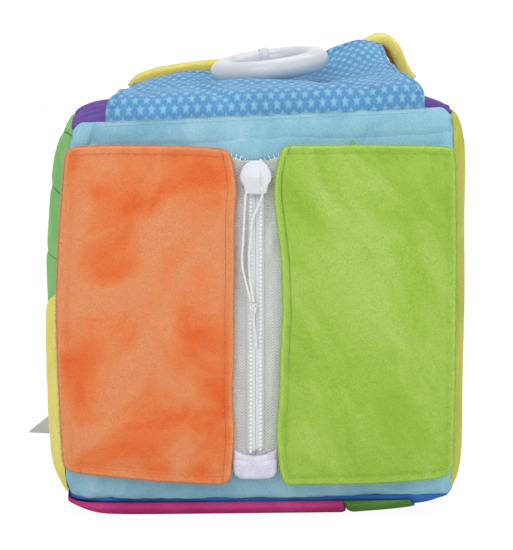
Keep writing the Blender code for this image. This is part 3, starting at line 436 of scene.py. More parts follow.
# Quilting on the left side: rows of dark green thread, sewn by machine through the velour, that
# hold it down in channels.
QUILT_THREAD = 0.0005
QUILT_LIFT = 0.0001  # how far the thread stands off the velour


def new_tree(name, shape, sizes, material):
    """Geometry nodes that take a shape, some sizes and a material; returns them and their inputs."""
    tree = bpy.data.node_groups.new(name, "GeometryNodeTree")
    kinds = {shape: "Geometry", **dict.fromkeys(sizes, "Float"), material: "Material"}
    for socket, kind in kinds.items():
        tree.interface.new_socket(socket, in_out="INPUT", socket_type=f"NodeSocket{kind}")
    tree.interface.new_socket("Made", in_out="OUTPUT", socket_type="NodeSocketGeometry")
    return tree, add_node(tree, "NodeGroupInput").outputs


def end_tree(tree, shape, material):
    """Ends a tree of geometry nodes with its shape, made real and in its material."""
    whole = add_node(tree, "GeometryNodeRealizeInstances", {"Geometry": shape})
    dyed = add_node(tree, "GeometryNodeSetMaterial", {"Geometry": whole.outputs[0], "Material": material})
    add_node(tree, "NodeGroupOutput", {"Made": dyed.outputs[0]})
    return tree


def thread_tree(name):
    """Geometry nodes that turn drawn lines into round threads."""
    tree, drawn = new_tree(name, "Lines", ("Thickness",), "Thread")
    radius = maths(tree, "MULTIPLY", drawn["Thickness"], 0.5)
    ring = add_node(tree, "GeometryNodeCurvePrimitiveCircle", {"Resolution": 6, "Radius": radius})
    swept = add_node(tree, "GeometryNodeCurveToMesh", {
        "Curve": drawn["Lines"], "Profile Curve": ring.outputs["Curve"], "Fill Caps": True})
    return end_tree(tree, swept.outputs["Mesh"], drawn["Thread"])


def run_nodes(name, data, tree, **inputs):
    """Runs a tree of nodes on a mesh or a curve and keeps the result as a plain mesh."""
    guide = bpy.data.objects.new(f"{name}_guide", data)
    scene.collection.objects.link(guide)
    modifier = guide.modifiers.new(name, "NODES")
    modifier.node_group = tree
    for item in tree.interface.items_tree:
        if item.in_out == "INPUT" and item.name.replace(" ", "_") in inputs:
            modifier[item.identifier] = inputs[item.name.replace(" ", "_")]
    made = guide.evaluated_get(bpy.context.evaluated_depsgraph_get())
    mesh = bpy.data.meshes.new_from_object(made)
    bpy.data.objects.remove(guide)
    mesh.name = name
    mesh.shade_smooth()
    piece = bpy.data.objects.new(name, mesh)
    scene.collection.objects.link(piece)
    return piece


def sewn_rows(name, lines, tree, **inputs):
    """Runs a tree of nodes along lines of points."""
    curve = bpy.data.curves.new(name, "CURVE")
    curve.dimensions = "3D"
    for line in lines:
        spline = curve.splines.new("POLY")
        spline.points.add(len(line) - 1)
        places = np.column_stack((line, np.ones(len(line))))
        spline.points.foreach_set("co", places.astype(np.float32).ravel())
    return run_nodes(name, curve, tree, **inputs)


def thread_stuff(name, colour, rough=0.7):
    """Twisted sewing thread."""
    material, tree, shader = new_finish(name, {"Roughness": rough, "Sheen Weight": 0.15})
    plies = noise(tree, add_node(tree, "ShaderNodeTexCoord").outputs["Object"], 2600.0)
    dye(tree, shader, ink(*colour), spread(tree, plies, 0.3, 0.7, 0.88, 1.05))
    roughen(tree, shader, plies, 0.5, 0.0002)
    return material


THREADS = thread_tree("thread_lines")
a = np.linspace(-0.985, 0.985, 160)
quilting = []
for front_z, rear_z in QUILT_LINES:
    b = (quilt_height(a, front_z, rear_z) - CENTRE_Z) / HALF[2]
    sunk = panel_relief("left", a, b, PANELS["left"][1]) + QUILT_LIFT
    quilting.append(skin(np.stack((-1 + 0 * a, a, b), -1), sunk))
quilt = sewn_rows("left_quilting", quilting, THREADS, Thickness=QUILT_THREAD,
                  Thread=thread_stuff("dark_green_thread", (58, 112, 70)))
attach(quilt, "cube")

# The filling: one block of loose white fibre that pushes the cover out, hollowed behind the
# zip for the pocket. It is closed in by the six panels.
FILLING_GAP = 0.0006
FILLING_TUFT = 0.0004
TUFT_SIZE = 0.12  # as a share of the half size
POCKET_HALF = 0.036
POCKET_REACH = 0.76  # up and down, as a share of the half height
POCKET_DEPTH = 0.0050
bm = bmesh.new()
bmesh.ops.create_cube(bm, size=2.0)
bmesh.ops.subdivide_edges(bm, edges=bm.edges[:], cuts=31, use_grid_fill=True)
spots = np.array([v.co for v in bm.verts])
tufted = FILLING_TUFT * (lumps(spots[:, 0] + spots[:, 1], spots[:, 2], TUFT_SIZE, 21) - 1.2)
tufted = tufted - VELOUR_THICK - FILLING_GAP
behind_zip = ((spots[:, 1] < -0.999) & (np.abs(spots[:, 0]) < POCKET_HALF / HALF[0])
              & (np.abs(spots[:, 2]) < POCKET_REACH))
for v, point in zip(bm.verts, skin(spots, tufted - POCKET_DEPTH * behind_zip)):
    v.co = point
fibre_mesh = bpy.data.meshes.new("fibre_filling")
bm.to_mesh(fibre_mesh)
bm.free()
filling = link_mesh("fibre_filling", fibre_mesh, pile_cloth(
    "white_fibre", (206, 206, 202), (226, 226, 222), (240, 240, 238), nap=0.012))
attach(filling, "cube")
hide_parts("filling_block")

# The zip pocket's lining: a thin bag of white woven cloth, sewn behind the zip and lying flat and
# empty between the cover and the filling.
POCKET_SPACE = 0.0010
POCKET_THICK = 0.0006
BAG_HALF = 0.0345
BAG_BELOW, BAG_ABOVE = 0.0016, 0.0014
BAG_CREASE = 0.0002


def on_front(x, z, lift):
    """The points of the cube's front at x and z, lifted off it."""
    x, z, lift = np.broadcast_arrays(x, z, lift)
    upright_z = 2 * z - leaned(np.stack((x, 0 * x, z), -1))[..., 2]
    upright_x = np.where(x < 0, x / drawn_in(upright_z), x)
    a = np.abs(upright_x / (HALF[0] + lift)) ** ROUNDING
    b = np.abs((upright_z - CENTRE_Z) / (HALF[2] + lift)) ** ROUNDING
    rest = 1 - a - b
    left = (rest + np.sqrt(rest ** 2 + 4 * CORNER_FILL * a * b)) / 2
    y = (HALF[1] + lift) * np.maximum(left, 1e-9) ** (1 / ROUNDING)
    return np.stack((x, -np.minimum(y, HALF[1] - FRONT_FLAT + lift), z), -1)


def weave(name, colour, thread=0.0005, zigzag=0.0, depth=0.4, rough=0.85, contrast=0.12):
    """A plain weave of fine threads, or a zigzag twill, drawn on the cloth's own flat sizes."""
    material, tree, shader = new_finish(name, {
        "Roughness": rough, "Specular IOR Level": 0.25, "Sheen Weight": 0.1})
    flat = add_node(tree, "ShaderNodeUVMap", uv_map="cloth").outputs["UV"]
    split = add_node(tree, "ShaderNodeSeparateXYZ", {0: flat}).outputs
    if zigzag:
        slanted = maths(tree, "ADD", split["Y"], maths(tree, "PINGPONG", split["X"], zigzag))
        ridges = maths(tree, "SINE", maths(tree, "MULTIPLY", slanted, math.pi / thread))
    else:
        weft = maths(tree, "SINE", maths(tree, "MULTIPLY", split["X"], math.pi / thread))
        warp = maths(tree, "SINE", maths(tree, "MULTIPLY", split["Y"], math.pi / thread))
        ridges = maths(tree, "MULTIPLY", weft, warp)
    mixed = maths(tree, "ADD", ridges, noise(tree, flat, 420.0, 3.0))
    dye(tree, shader, ink(*colour), spread(tree, mixed, -0.5, 1.5, 1 - contrast, 1 + contrast / 4))
    roughen(tree, shader, mixed, depth, 0.00015)
    return material


LINING_CLOTH = weave("white_lining_cloth", (232, 232, 231))
x, z = crossed(np.linspace(-BAG_HALF, BAG_HALF, 40),
               np.linspace(TAB_TOP_Z - BAG_BELOW, SLOT_TOP_Z + BAG_ABOVE, 60))
bag_lift = -VELOUR_THICK - GAP - POCKET_SPACE + BAG_CREASE * (lumps(x, z, 0.015, 22) - 1)
pocket = layer("pocket_bag", on_front(ZIP_X + x, z, bag_lift),
               on_front(ZIP_X + x, z, bag_lift - POCKET_THICK), LINING_CLOTH, np.stack((x, z), -1))
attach(pocket, "cube")
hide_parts("pocket_lining")

# The front's upper edge: the velour is turned up there, flat in front of the seam, where the
# star flap is sewn in behind it.
STAR_WIDTH = 0.1150
STAR_OFFSET = 0.0027
EDGE_MIDDLE, EDGE_HALF = 0.0016, 0.0680
EDGE_FOOT_Z = 0.1362
EDGE_TOP_Z = TOP_SEAM_Z - 0.0003
EDGE_Y = FRONT_SEAM_Y - 0.0042
EDGE_THICK = 0.0006
EDGE_SINK = 0.0012  # how far its foot lies under the front's surface
EDGE_RISE = 0.0014  # from there to where it lies on the front
EDGE_STEP = 0.0010  # how much higher its top is beside the star flap
EDGE_DROOP = 0.0030  # how much lower its top is at its two ends
EDGE_OVERLAP = 0.0005  # how far that step reaches over the star flap's side
EDGE_SMOOTHED = 0.9  # the share of the creases that is lost at the star flap's seam
x, level = crossed(EDGE_MIDDLE + EDGE_HALF * np.linspace(-1, 1, 200), np.linspace(0, 1, 16))
to_end = EDGE_HALF - np.abs(x - EDGE_MIDDLE)
beside_star = np.abs(x - STAR_OFFSET) - STAR_WIDTH / 2
top_z = EDGE_TOP_Z + EDGE_STEP * ramp(beside_star + EDGE_OVERLAP, 0.0004)
top_z = top_z - EDGE_DROOP * (1 - ramp(to_end, 0.004)) ** 2
z = leaned(np.stack((x, 0 * x, EDGE_FOOT_Z + (top_z - EDGE_FOOT_Z) * level), -1))[..., 2]
surface = on_front(x, z, EDGE_RISE * np.clip(2.5 * level, 0, 1) - EDGE_SINK)
forward = np.clip(1.6 * level, 0, 1) * eased(ramp(to_end, 0.010))
turned_up = surface.copy()
turned_up[..., 1] = np.minimum(surface[..., 1], EDGE_Y) * forward + surface[..., 1] * (1 - forward)
turned_up[..., 1] += crease_depth(x, z) * np.where(beside_star < 0, 1 - EDGE_SMOOTHED * level, 1.0)
upper_edge = layer("front_upper_edge", turned_up, turned_up + (0.0, EDGE_THICK, 0.0), PANELS["front"][2])
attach(upper_edge, "cube")

# Yellow patch on the left side: a piece of thin velour, cut with a dipped upper edge and sewn
# down over the green panel.
PATCH_REACH = 1 - 0.0026 / (HALF[1] * SEAM)
SEAM_REACH = 0.996
SIDE_PATCH_DEPTH, SIDE_PATCH_HEIGHT = 0.150, 0.080
SIDE_PATCH_TOP = 0.0860
SIDE_PATCH_DIP = 0.0120
SIDE_PATCH_THICK = 0.0004
SIDE_PATCH_PULL = 0.0007  # how far its upper edge is sewn down into the filling
SIDE_PATCH_PUCKER = 0.00012
SIDE_PATCH_ROUNDING = 0.0030
SIDE_PATCH_STEP = 0.0022


def crowned(distance, thick, reach):
    """How a cloth layer's upper side rounds off towards its cut edge."""
    near = ramp(distance, reach)
    return thick * (0.2 + 0.8 * np.sqrt(1 - (1 - near) ** 2))


def edge_distance(u, v, width, height):
    """The distance to the nearest edge of a layer at shares u and v of its width and height."""
    du = np.maximum(np.minimum(u, 1 - u), 1e-4) * width
    dv = np.maximum(np.minimum(v, 1 - v), 1e-4) * height
    return (du ** -5.0 + dv ** -5.0) ** -0.2


def crowded(length, step, edge=(0.0, 0.0003, 0.0007, 0.0012, 0.0018, 0.0025)):
    """Shares from 0 to 1 along a length, closer together near both ends."""
    inner = np.linspace(edge[-1] + step, length - edge[-1] - step, max(2, int(length / step)))
    return np.concatenate((edge, inner, length - np.array(edge[::-1]))) / length


YELLOW_VELOUR = pile_cloth("yellow_velour", (232, 219, 114), (239, 226, 123), (242, 230, 134))
u, v = crossed(crowded(SIDE_PATCH_DEPTH, SIDE_PATCH_STEP), crowded(SIDE_PATCH_HEIGHT, SIDE_PATCH_STEP))
a = -SEAM_REACH + (PATCH_REACH + SEAM_REACH) * u
top_edge = (SIDE_PATCH_TOP - SIDE_PATCH_DIP * (1 - (2 * u - 1) ** 2) - CENTRE_Z) / HALF[2]
b = -PATCH_REACH + v * (top_edge + PATCH_REACH)
direction = np.stack((-1 + 0 * a, a, b), -1)
inset = edge_distance(u, v, SIDE_PATCH_DEPTH, SIDE_PATCH_HEIGHT)
sewn_down = SIDE_SLUMP + SIDE_PATCH_PULL * np.exp(-(1 - v) * SIDE_PATCH_HEIGHT / 0.008)
raised = GAP + crowned(inset, SIDE_PATCH_THICK, SIDE_PATCH_ROUNDING)
raised = raised + SIDE_PATCH_PUCKER * lumps(a * HALF[1], b * HALF[2], 0.006, 23) - sewn_down
left_patch = layer("yellow_side_patch", skin(direction, raised), skin(direction, 0.0001 - sewn_down),
                   YELLOW_VELOUR)
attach(left_patch, "cube")
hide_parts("left_patch")

# Two pads under the cube, magenta and green: padded velour patches, sewn on side by side, that
# the cube stands on.
PAD_THICK = 0.0017
PAD_SPLIT = 0.0335
PAD_END = 0.0600
PAD_THINNING = 0.0013  # of the green pad, over this reach
PAD_THINNING_REACH = 0.025
PAD_ROUNDING = 0.0026
PAD_STEP = 0.0025
SEWN_LIFT = 0.0002  # of a patch's underside off the cover
for name, node, start, end, velour in (
    ("magenta_base_pad", "base_patch_left", -SEAM_REACH * HALF[0], PAD_SPLIT - GAP / 4, PANELS["back"][2]),
    ("green_base_pad", "base_patch_right", PAD_SPLIT + GAP / 4, PAD_END, pile_cloth(
        "leaf_green_velour", (84, 128, 56), (104, 150, 72), (126, 168, 92))),
):
    depth = (SEAM_REACH + PATCH_REACH) * HALF[1]
    u, v = crossed(crowded(end - start, PAD_STEP), crowded(depth, PAD_STEP))
    a, b = (start + u * (end - start)) / HALF[0], -SEAM_REACH + (SEAM_REACH + PATCH_REACH) * v
    direction = np.stack((a, b, -1 + 0 * a), -1)
    thick = PAD_THICK - PAD_THINNING * ramp(a * HALF[0] - PAD_SPLIT, PAD_THINNING_REACH)
    raised = GAP + crowned(edge_distance(u, v, end - start, depth), thick, PAD_ROUNDING)
    pad = layer(name, skin(direction, raised), skin(direction, SEWN_LIFT + 0 * raised), velour)
    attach(pad, "cube")
    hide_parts(node)

# A green velour leaf, cut out and sewn on the front: the right door flap covers it, and only its
# tip shows above.
LEAF_X, LEAF_Z = 0.0337, TOP_SEAM_Z - 0.0225
LEAF_LENGTH, LEAF_WIDTH = 0.030, 0.013
LEAF_THICK = 0.0008
u, v = crossed(np.linspace(0, 1, 15), np.linspace(0.01, 0.99, 41))
half = LEAF_WIDTH / 2 * np.sin(math.pi * v) ** 1.4
x, z = LEAF_X + (2 * u - 1) * half, LEAF_Z + LEAF_LENGTH * (v - 0.5)
raised = GAP + crowned(np.minimum(u, 1 - u) * 2 * half, LEAF_THICK, LEAF_THICK)
leaf = layer("green_leaf", on_front(x, z, raised), on_front(x, z, SEWN_LIFT + 0 * raised), GREEN_VELOUR)
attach(leaf, "cube")
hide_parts("leaf_patch")

# The zip's surround: a white felt patch with two lobes at its top, blanket-stitched to the
# front round a slot for the zip.
SURROUND_HALF = 0.0195
LOBE = 0.0100
LOBE_BELOW = 0.0093  # from the slider's top to the middle of a lobe
FOOT_Z = TAB_BOTTOM_Z + 0.0030
FELT_LIFTS = (0.0003, 0.0011)
SPOKE_IN, SPOKE_OUT = 0.0014, 0.0015  # how far a blanket stitch reaches to both sides of the edge
SPOKE_LIFTS = np.array((0.0009, 0.0014, 0.0012, 0.0006, 0.0002))
BLANKET_THREAD = 0.00042


def on_zip(x, z, lift):
    """The points of the cube's front beside the zip's middle line."""
    return on_front(ZIP_X + np.asarray(x), z, lift)


def cut_cloth(name, outline, place, lifts, material, spacing, hole):
    """A layer cut to any flat outline, less a hole, and laid on a surface by place(x, z, lift)."""
    bm = bmesh.new()
    bm.faces.new([bm.verts.new((p[0], p[1], 0)) for p in outline])
    low, high = np.min(outline, 0), np.max(outline, 0)
    for axis in (0, 1):
        normal = Vector((1 - axis, axis, 0))
        for value in (*np.arange(low[axis] + spacing, high[axis], spacing), *hole[axis]):
            bmesh.ops.bisect_plane(bm, geom=bm.verts[:] + bm.edges[:] + bm.faces[:], dist=1e-7,
                                   plane_co=normal * float(value), plane_no=normal)
    (x0, x1), (z0, z1) = hole
    middles = [(f, f.calc_center_median()) for f in bm.faces]
    inside = [f for f, spot in middles if x0 < spot.x < x1 and z0 < spot.y < z1]
    bmesh.ops.delete(bm, geom=inside, context="FACES")
    bm.verts.index_update()
    flat = np.array([v.co for v in bm.verts])[:, :2]
    count = len(flat)
    faces = [[v.index for v in f.verts] for f in bm.faces]
    rims = [[loop.vert.index, loop.link_loop_next.vert.index]
            for f in bm.faces for loop in f.loops if loop.edge.is_boundary]
    bm.free()
    points = np.concatenate([place(flat[:, 0], flat[:, 1], lift) for lift in lifts[::-1]])
    faces += [[i + count for i in face[::-1]] for face in faces]
    faces += [[b, a, a + count, b + count] for a, b in rims]
    mesh = bpy.data.meshes.new(name)
    mesh.from_pydata(points.tolist(), [], faces)
    piece = link_mesh(name, mesh, material)
    mesh.set_sharp_from_angle(angle=math.radians(50))
    return piece


lobe_x, lobe_z = SURROUND_HALF - LOBE, SLIDER_TOP_Z - LOBE_BELOW
dip = math.acos(lobe_x / LOBE)
arc = np.linspace(0, math.pi - dip, 25)
right_lobe = np.stack((lobe_x + LOBE * np.cos(arc), lobe_z + LOBE * np.sin(arc)), -1)
left_lobe = (right_lobe * (-1, 1))[-2::-1]
foot = np.array(((-SURROUND_HALF, FOOT_Z), (SURROUND_HALF, FOOT_Z)))
FELT = pile_cloth("white_felt", (238, 240, 243), (244, 246, 248), (250, 251, 252), nap=0.004, sheen=0.1)
surround = cut_cloth("zip_felt_surround", np.concatenate((foot, right_lobe, left_lobe)), on_zip,
                     FELT_LIFTS, FELT, 0.003,
                     hole=((-SLOT_HALF, SLOT_HALF), (TAB_TOP_Z - 0.0003, SLOT_TOP_Z)))
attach(surround, "cube")
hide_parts("zip_surround")

WHITE_THREAD = thread_stuff("white_thread", (246, 248, 250))
spokes = []
for hand in (1, -1):
    for turn in np.linspace(0.08, math.pi - dip - 0.05, 18):
        reach = np.linspace(LOBE - SPOKE_IN, LOBE + SPOKE_OUT, 5)
        spoke_x, spoke_z = lobe_x + reach * math.cos(turn), lobe_z + reach * math.sin(turn)
        spokes.append(on_zip(hand * spoke_x, spoke_z, SPOKE_LIFTS))
    spokes.append(on_zip(hand * right_lobe[:, 0], right_lobe[:, 1], FELT_LIFTS[1]))
blanket = sewn_rows("zip_blanket_stitch", spokes, THREADS, Thickness=BLANKET_THREAD, Thread=WHITE_THREAD)
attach(blanket, "cube")

# The zip: two woven tapes, each with a nylon coil sewn along its edge. The closed coils are
# covered by their woven cords, so that two rows of stitches and a smooth middle band show.
TAPE_LIFT = 0.0014
TAPE_THICK = 0.0006
TAPE_EDGE = 0.00004
TAPE_WIDTH = 0.0153
TAPE_RIPPLE = 0.00050
TAPE_BARE, TAPE_BARE_REACH = 0.0056, 0.0018  # where the tape lies bare beside the coil, and ripples
CHAIN_LIFT = 0.0022
CHAIN_HALF = 0.0033
CHAIN_HEIGHT = 0.0018
CHAIN_SINK = 0.00045  # how far its middle band lies below the two rows of stitches
CHAIN_BAND = 0.0011  # half the width of that band
COIL_PITCH = 0.00145
COIL_BOTTOM_Z = TAB_TOP_Z + 0.0012
COIL_TURNS = 72
STITCH_ROW, STITCH_LIFT = 0.00178, 0.0041
HERRINGBONE = weave("white_zip_tape", (229, 232, 230), thread=0.00055, zigzag=0.0016, depth=0.9, rough=0.7,
                    contrast=0.16)
CHAIN_CLOTH = weave("white_zip_chain", (222, 226, 224), thread=0.0005, depth=0.2, contrast=0.05)


def stitch_tree(name):
    """Geometry nodes that set one plump stitch after another along drawn lines."""
    tree, drawn = new_tree(name, "Lines", ("Pitch", "Length", "Width", "Thickness"), "Thread")
    spots = add_node(tree, "GeometryNodeResampleCurve", {
        "Curve": drawn["Lines"], "Length": drawn["Pitch"]}, mode="LENGTH")
    tangent = add_node(tree, "GeometryNodeInputTangent")
    aligned = add_node(tree, "FunctionNodeAlignRotationToVector", {"Vector": tangent.outputs[0]}, axis="X")
    ball = add_node(tree, "GeometryNodeMeshUVSphere", {"Segments": 8, "Rings": 6, "Radius": 0.5})
    plump = add_node(tree, "ShaderNodeCombineXYZ", {
        0: drawn["Length"], 1: drawn["Thickness"], 2: drawn["Width"]})
    stitch = add_node(tree, "GeometryNodeTransform", {
        "Geometry": ball.outputs["Mesh"], "Scale": plump.outputs[0]})
    sewn = add_node(tree, "GeometryNodeInstanceOnPoints", {
        "Points": spots.outputs[0], "Instance": stitch.outputs[0], "Rotation": aligned.outputs[0]})
    return end_tree(tree, sewn.outputs[0], drawn["Thread"])


def circle(count):
    """Angles evenly round a circle."""
    return np.linspace(0, 2 * math.pi, count, endpoint=False)


def tube(name, path, radius, sides, material):
    """A closed tube along a path; radius is one size, or one for each point and side."""
    path = np.asarray(path)
    ahead = np.gradient(path, axis=0)
    ahead /= np.linalg.norm(ahead, axis=1, keepdims=True)
    across = np.zeros_like(path)
    side = np.cross(ahead[0], (0.0, 1.0, 0.0) if abs(ahead[0][1]) < 0.9 else (1.0, 0.0, 0.0))
    for n, forward in enumerate(ahead):
        side = side - forward * side.dot(forward)
        side /= np.linalg.norm(side)
        across[n] = side
    other = np.cross(ahead, across)
    turn = circle(sides)
    size = np.broadcast_to(radius, (len(path), sides))
    rings = (path[:, None] + across[:, None] * (np.cos(turn)[:, None] * size[..., None])
             + other[:, None] * (np.sin(turn)[:, None] * size[..., None]))
    return tube_mesh(name, rings, material)


def tube_mesh(name, rings, material):
    """A closed skin over rings of points, one ring after another."""
    count, sides = rings.shape[:2]
    index = np.arange(count * sides).reshape(count, sides)
    around = np.roll(index, -1, 1)
    quads = np.stack((index[:-1], around[:-1], around[1:], index[1:]), -1).reshape(-1, 4).tolist()
    ends = [index[0, ::-1].tolist(), index[-1].tolist()]
    mesh = bpy.data.meshes.new(name)
    mesh.from_pydata(rings.reshape(-1, 3).tolist(), [], quads + ends)
    return link_mesh(name, mesh, material)


STITCHES = stitch_tree("stitch_rows")
for side, hand in (("left", -1), ("right", 1)):
    x, z = crossed(hand * np.linspace(TAPE_EDGE, TAPE_EDGE + TAPE_WIDTH, 41),
                   np.linspace(FOOT_Z, SLOT_TOP_Z, 170))
    bare = bell(np.abs(x) - TAPE_BARE, TAPE_BARE_REACH)
    ripple = TAPE_LIFT + TAPE_RIPPLE * bare * lumps(0.6 * x, z, 0.0065, 24 + hand)
    tape = layer(f"zip_tape_cloth_{side}", on_zip(x, z, ripple + TAPE_THICK), on_zip(x, z, ripple),
                 HERRINGBONE, np.stack((x, z), -1))
    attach(tape, "cube")
    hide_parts(f"zip_tape_{side}")
    start_z = COIL_BOTTOM_Z + COIL_PITCH * (0.35 + (0.5 if hand > 0 else 0.0))
    end_z = start_z + COIL_PITCH * COIL_TURNS
    x, z = crossed(hand * np.linspace(TAPE_EDGE, CHAIN_HALF, 25), np.linspace(start_z, end_z, 120))
    outside = ramp(np.abs(x) - STITCH_ROW, CHAIN_HALF - STITCH_ROW)
    sunk = CHAIN_SINK * np.exp(-((np.abs(x) - 0.0002) / CHAIN_BAND) ** 4)
    rounded = CHAIN_HEIGHT * (1 - outside ** 2) - sunk
    coil = layer(f"zip_coil_cord_{side}", on_zip(x, z, CHAIN_LIFT + rounded),
                 on_zip(x, z, CHAIN_LIFT - 0.00005 + 0 * x), CHAIN_CLOTH, np.stack((x, z), -1))
    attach(coil, "cube")
    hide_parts(f"zip_coil_{side}")
    row_z = np.linspace(start_z, end_z, 80)
    row_line = on_zip(0 * row_z + hand * STITCH_ROW, row_z, STITCH_LIFT)
    row = sewn_rows(f"zip_coil_stitches_{side}", [row_line], STITCHES, Pitch=COIL_PITCH,
                    Length=0.00112, Width=0.0011, Thickness=0.0009, Thread=WHITE_THREAD)
    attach(row, "cube")

# The tab at the zip's lower end: a scrap of lilac plush, folded over the ends of the two tapes
# and sewn down.
TAB_HALF = 0.0081
TAB_SHIFT = -0.0001
TAB_HORN = 0.0026
TAB_CORNER = 0.0040
TAB_LIFT = 0.0023
TAB_THICK = 0.0013
TAB_ROUNDING = 0.0014
TAB_HEIGHT = 0.0095
TAB_FOLD_Z = 0.0222
TAB_FOLD_BOW = 0.0012
TAB_FOLD = 0.0005  # how much thicker it is below its fold, and how deep the fold lies
TAB_NAP = 0.0001
LILAC_PLUSH = pile_cloth("lilac_plush", (216, 214, 232), (224, 222, 240), (233, 232, 246), nap=0.008)
u, v = crossed(crowded(2 * TAB_HALF, 0.0006), crowded(0.0105, 0.0005))
x = TAB_HALF * (2 * u - 1)
bowed = (x / TAB_HALF) ** 2
corner = np.clip((np.abs(x) - TAB_HALF + TAB_CORNER) / TAB_CORNER, 0, 0.995)
low = TAB_BOTTOM_Z + 0.0004 + TAB_CORNER * (1 - np.sqrt(1 - corner ** 2))
high = TAB_TOP_Z + TAB_HORN * bowed
z = low + v * (high - low)
above_fold = z - TAB_FOLD_Z - TAB_FOLD_BOW * bowed
raised = TAB_LIFT + crowned(edge_distance(u, v, 2 * TAB_HALF, TAB_HEIGHT), TAB_THICK, TAB_ROUNDING)
raised += TAB_FOLD / (1 + np.exp(above_fold / 0.00022)) - TAB_FOLD * bell(above_fold, 0.0005)
raised += TAB_NAP * lumps(x, z, 0.003, 27)
x = x + TAB_SHIFT
tab = layer("zip_end_tab", on_zip(x, z, raised), on_zip(x, z, TAB_LIFT + 0 * raised), LILAC_PLUSH)
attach(tab, "cube")
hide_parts("zip_tab")

# The slider: white moulded plastic, a shield with an off-centre ridge over a back plate,
# joined by a post between the two tapes.
SLIDER_LENGTH = 0.0122
SLIDER_MIDDLE = 0.0058
SLIDER_PLATE = 0.0045
SHIELD_THICK = 0.0009
RIDGE_X = 0.0011
RIDGE_HEIGHT = 0.0021
RIDGE_FALL = 0.0012  # how steeply it falls to the right
RIDGE_TOP, RIDGE_RUN = 0.0014, 0.0046  # where it starts below the slider's top, and over what length
BEVEL_START = 0.86
BACK_SHARE = 0.93  # the size of the back plate, as a share of the shield's
BACK_LIFTS = (0.00098, -0.0001)
POST_HALF, POST_LENGTH, POST_UP = 0.00003, 0.0032, 0.0090
slider_foot = SLIDER_TOP_Z - SLIDER_LENGTH
# Half its outline from the foot upwards, as (across, above the foot)
SLIDER_SIDE = ((0.0, 0.0), (0.0025, 0.0), (0.0037, 0.0002), (0.0041, 0.0008), (0.0042, 0.0020),
               (0.0045, 0.0032), (0.0053, 0.0046), (0.0057, 0.0058), (0.0056, 0.0070), (0.0050, 0.0088),
               (0.0040, 0.0105), (0.0026, 0.0117), (0.0012, 0.0121), (0.0, 0.0122))


def smooth_line(points, count):
    """Points evenly spaced, or at given shares, along a smooth curve through the given ones."""
    points = np.asarray(points, float)
    ends = np.concatenate(([2 * points[0] - points[1]], points, [2 * points[-1] - points[-2]]))
    k = np.linspace(0, 1, 16, endpoint=False)[:, None]
    fine = []
    for a, b, c, d in zip(ends, ends[1:], ends[2:], ends[3:]):
        fine.append(0.5 * (2 * b + (c - a) * k + (2 * a - 5 * b + 4 * c - d) * k ** 2
                           + (3 * b - a - 3 * c + d) * k ** 3))
    fine = np.concatenate(fine + [points[-1:]])
    length = np.concatenate(([0], np.cumsum(np.linalg.norm(np.diff(fine, axis=0), axis=1))))
    wanted = np.linspace(0, 1, count) if isinstance(count, int) else np.asarray(count)
    return np.stack([np.interp(wanted * length[-1], length, column) for column in fine.T], -1)


def moulded_plastic(name, colour, rough):
    """Glossy moulded plastic with faint flow marks and fine scuffs."""
    material, tree, shader = new_finish(name, {
        "Subsurface Weight": 0.06, "Subsurface Radius": (0.002, 0.002, 0.002)})
    place = add_node(tree, "ShaderNodeTexCoord").outputs["Object"]
    flow = noise(tree, place, 90.0, 3.0)
    dye(tree, shader, ink(*colour), spread(tree, flow, 0.3, 0.7, 0.97, 1.02))
    gloss = spread(tree, noise(tree, place, 700.0, 4.0), 0.3, 0.7, rough * 0.8, rough * 1.3)
    tree.links.new(gloss, shader.inputs["Roughness"])
    roughen(tree, shader, flow, 0.06, 0.0005)
    return material


half_outline = smooth_line(SLIDER_SIDE, 36)
outline = np.concatenate((half_outline, (half_outline * (-1, 1))[-2:0:-1]))
middle = np.array((0.0, SLIDER_MIDDLE))
shrink = np.concatenate((np.linspace(0.03, BEVEL_START, 16), (0.91, 0.95, 0.975, 0.99, 1.0)))
disc = middle + shrink[:, None, None] * (outline - middle)
widest = np.interp(disc[..., 1], half_outline[4:, 1], half_outline[4:, 0])
right_of_ridge = disc[..., 0] - RIDGE_X
left_facet = ramp(disc[..., 0] + widest, widest + RIDGE_X)
roof = np.where(right_of_ridge < 0, left_facet, np.exp(-np.maximum(right_of_ridge, 0) / RIDGE_FALL))
rise = ramp(SLIDER_LENGTH - RIDGE_TOP - disc[..., 1], RIDGE_RUN) ** 0.8
bevel = np.sqrt(1 - ramp(shrink - BEVEL_START, 1 - BEVEL_START) ** 2)[:, None]
front = SLIDER_PLATE + 0.0002 + SHIELD_THICK * bevel + RIDGE_HEIGHT * rise * roof * bevel ** 0.3
shield = [on_zip(ring[:, 0], slider_foot + ring[:, 1], lifts) for ring, lifts in zip(disc, front)]
shield.append(on_zip(outline[:, 0], slider_foot + outline[:, 1], SLIDER_PLATE))
back = middle + BACK_SHARE * (outline - middle)
round_post = circle(16)
post_x = POST_HALF * np.cos(round_post)
post_z = slider_foot + POST_UP + POST_LENGTH / 2 * np.sin(round_post)
slider_bm = bmesh.new()
for rings in (
    shield,
    [on_zip(back[:, 0], slider_foot + back[:, 1], lift) for lift in BACK_LIFTS],
    [on_zip(post_x, post_z, lift) for lift in (0.0005, SLIDER_PLATE + 0.0005)],
):
    corners = [[slider_bm.verts.new(p) for p in ring] for ring in rings]
    for a, b in zip(corners, corners[1:]):
        for n in range(len(a)):
            m = (n + 1) % len(a)
            slider_bm.faces.new((a[n], a[m], b[m], b[n]))
    slider_bm.faces.new(corners[0])
    slider_bm.faces.new(corners[-1])
slider_mesh = bpy.data.meshes.new("zip_slider_shield")
slider_bm.to_mesh(slider_mesh)
slider_bm.free()
slider = link_mesh("zip_slider_shield", slider_mesh,
                   moulded_plastic("slider_plastic", (224, 226, 231), 0.35))
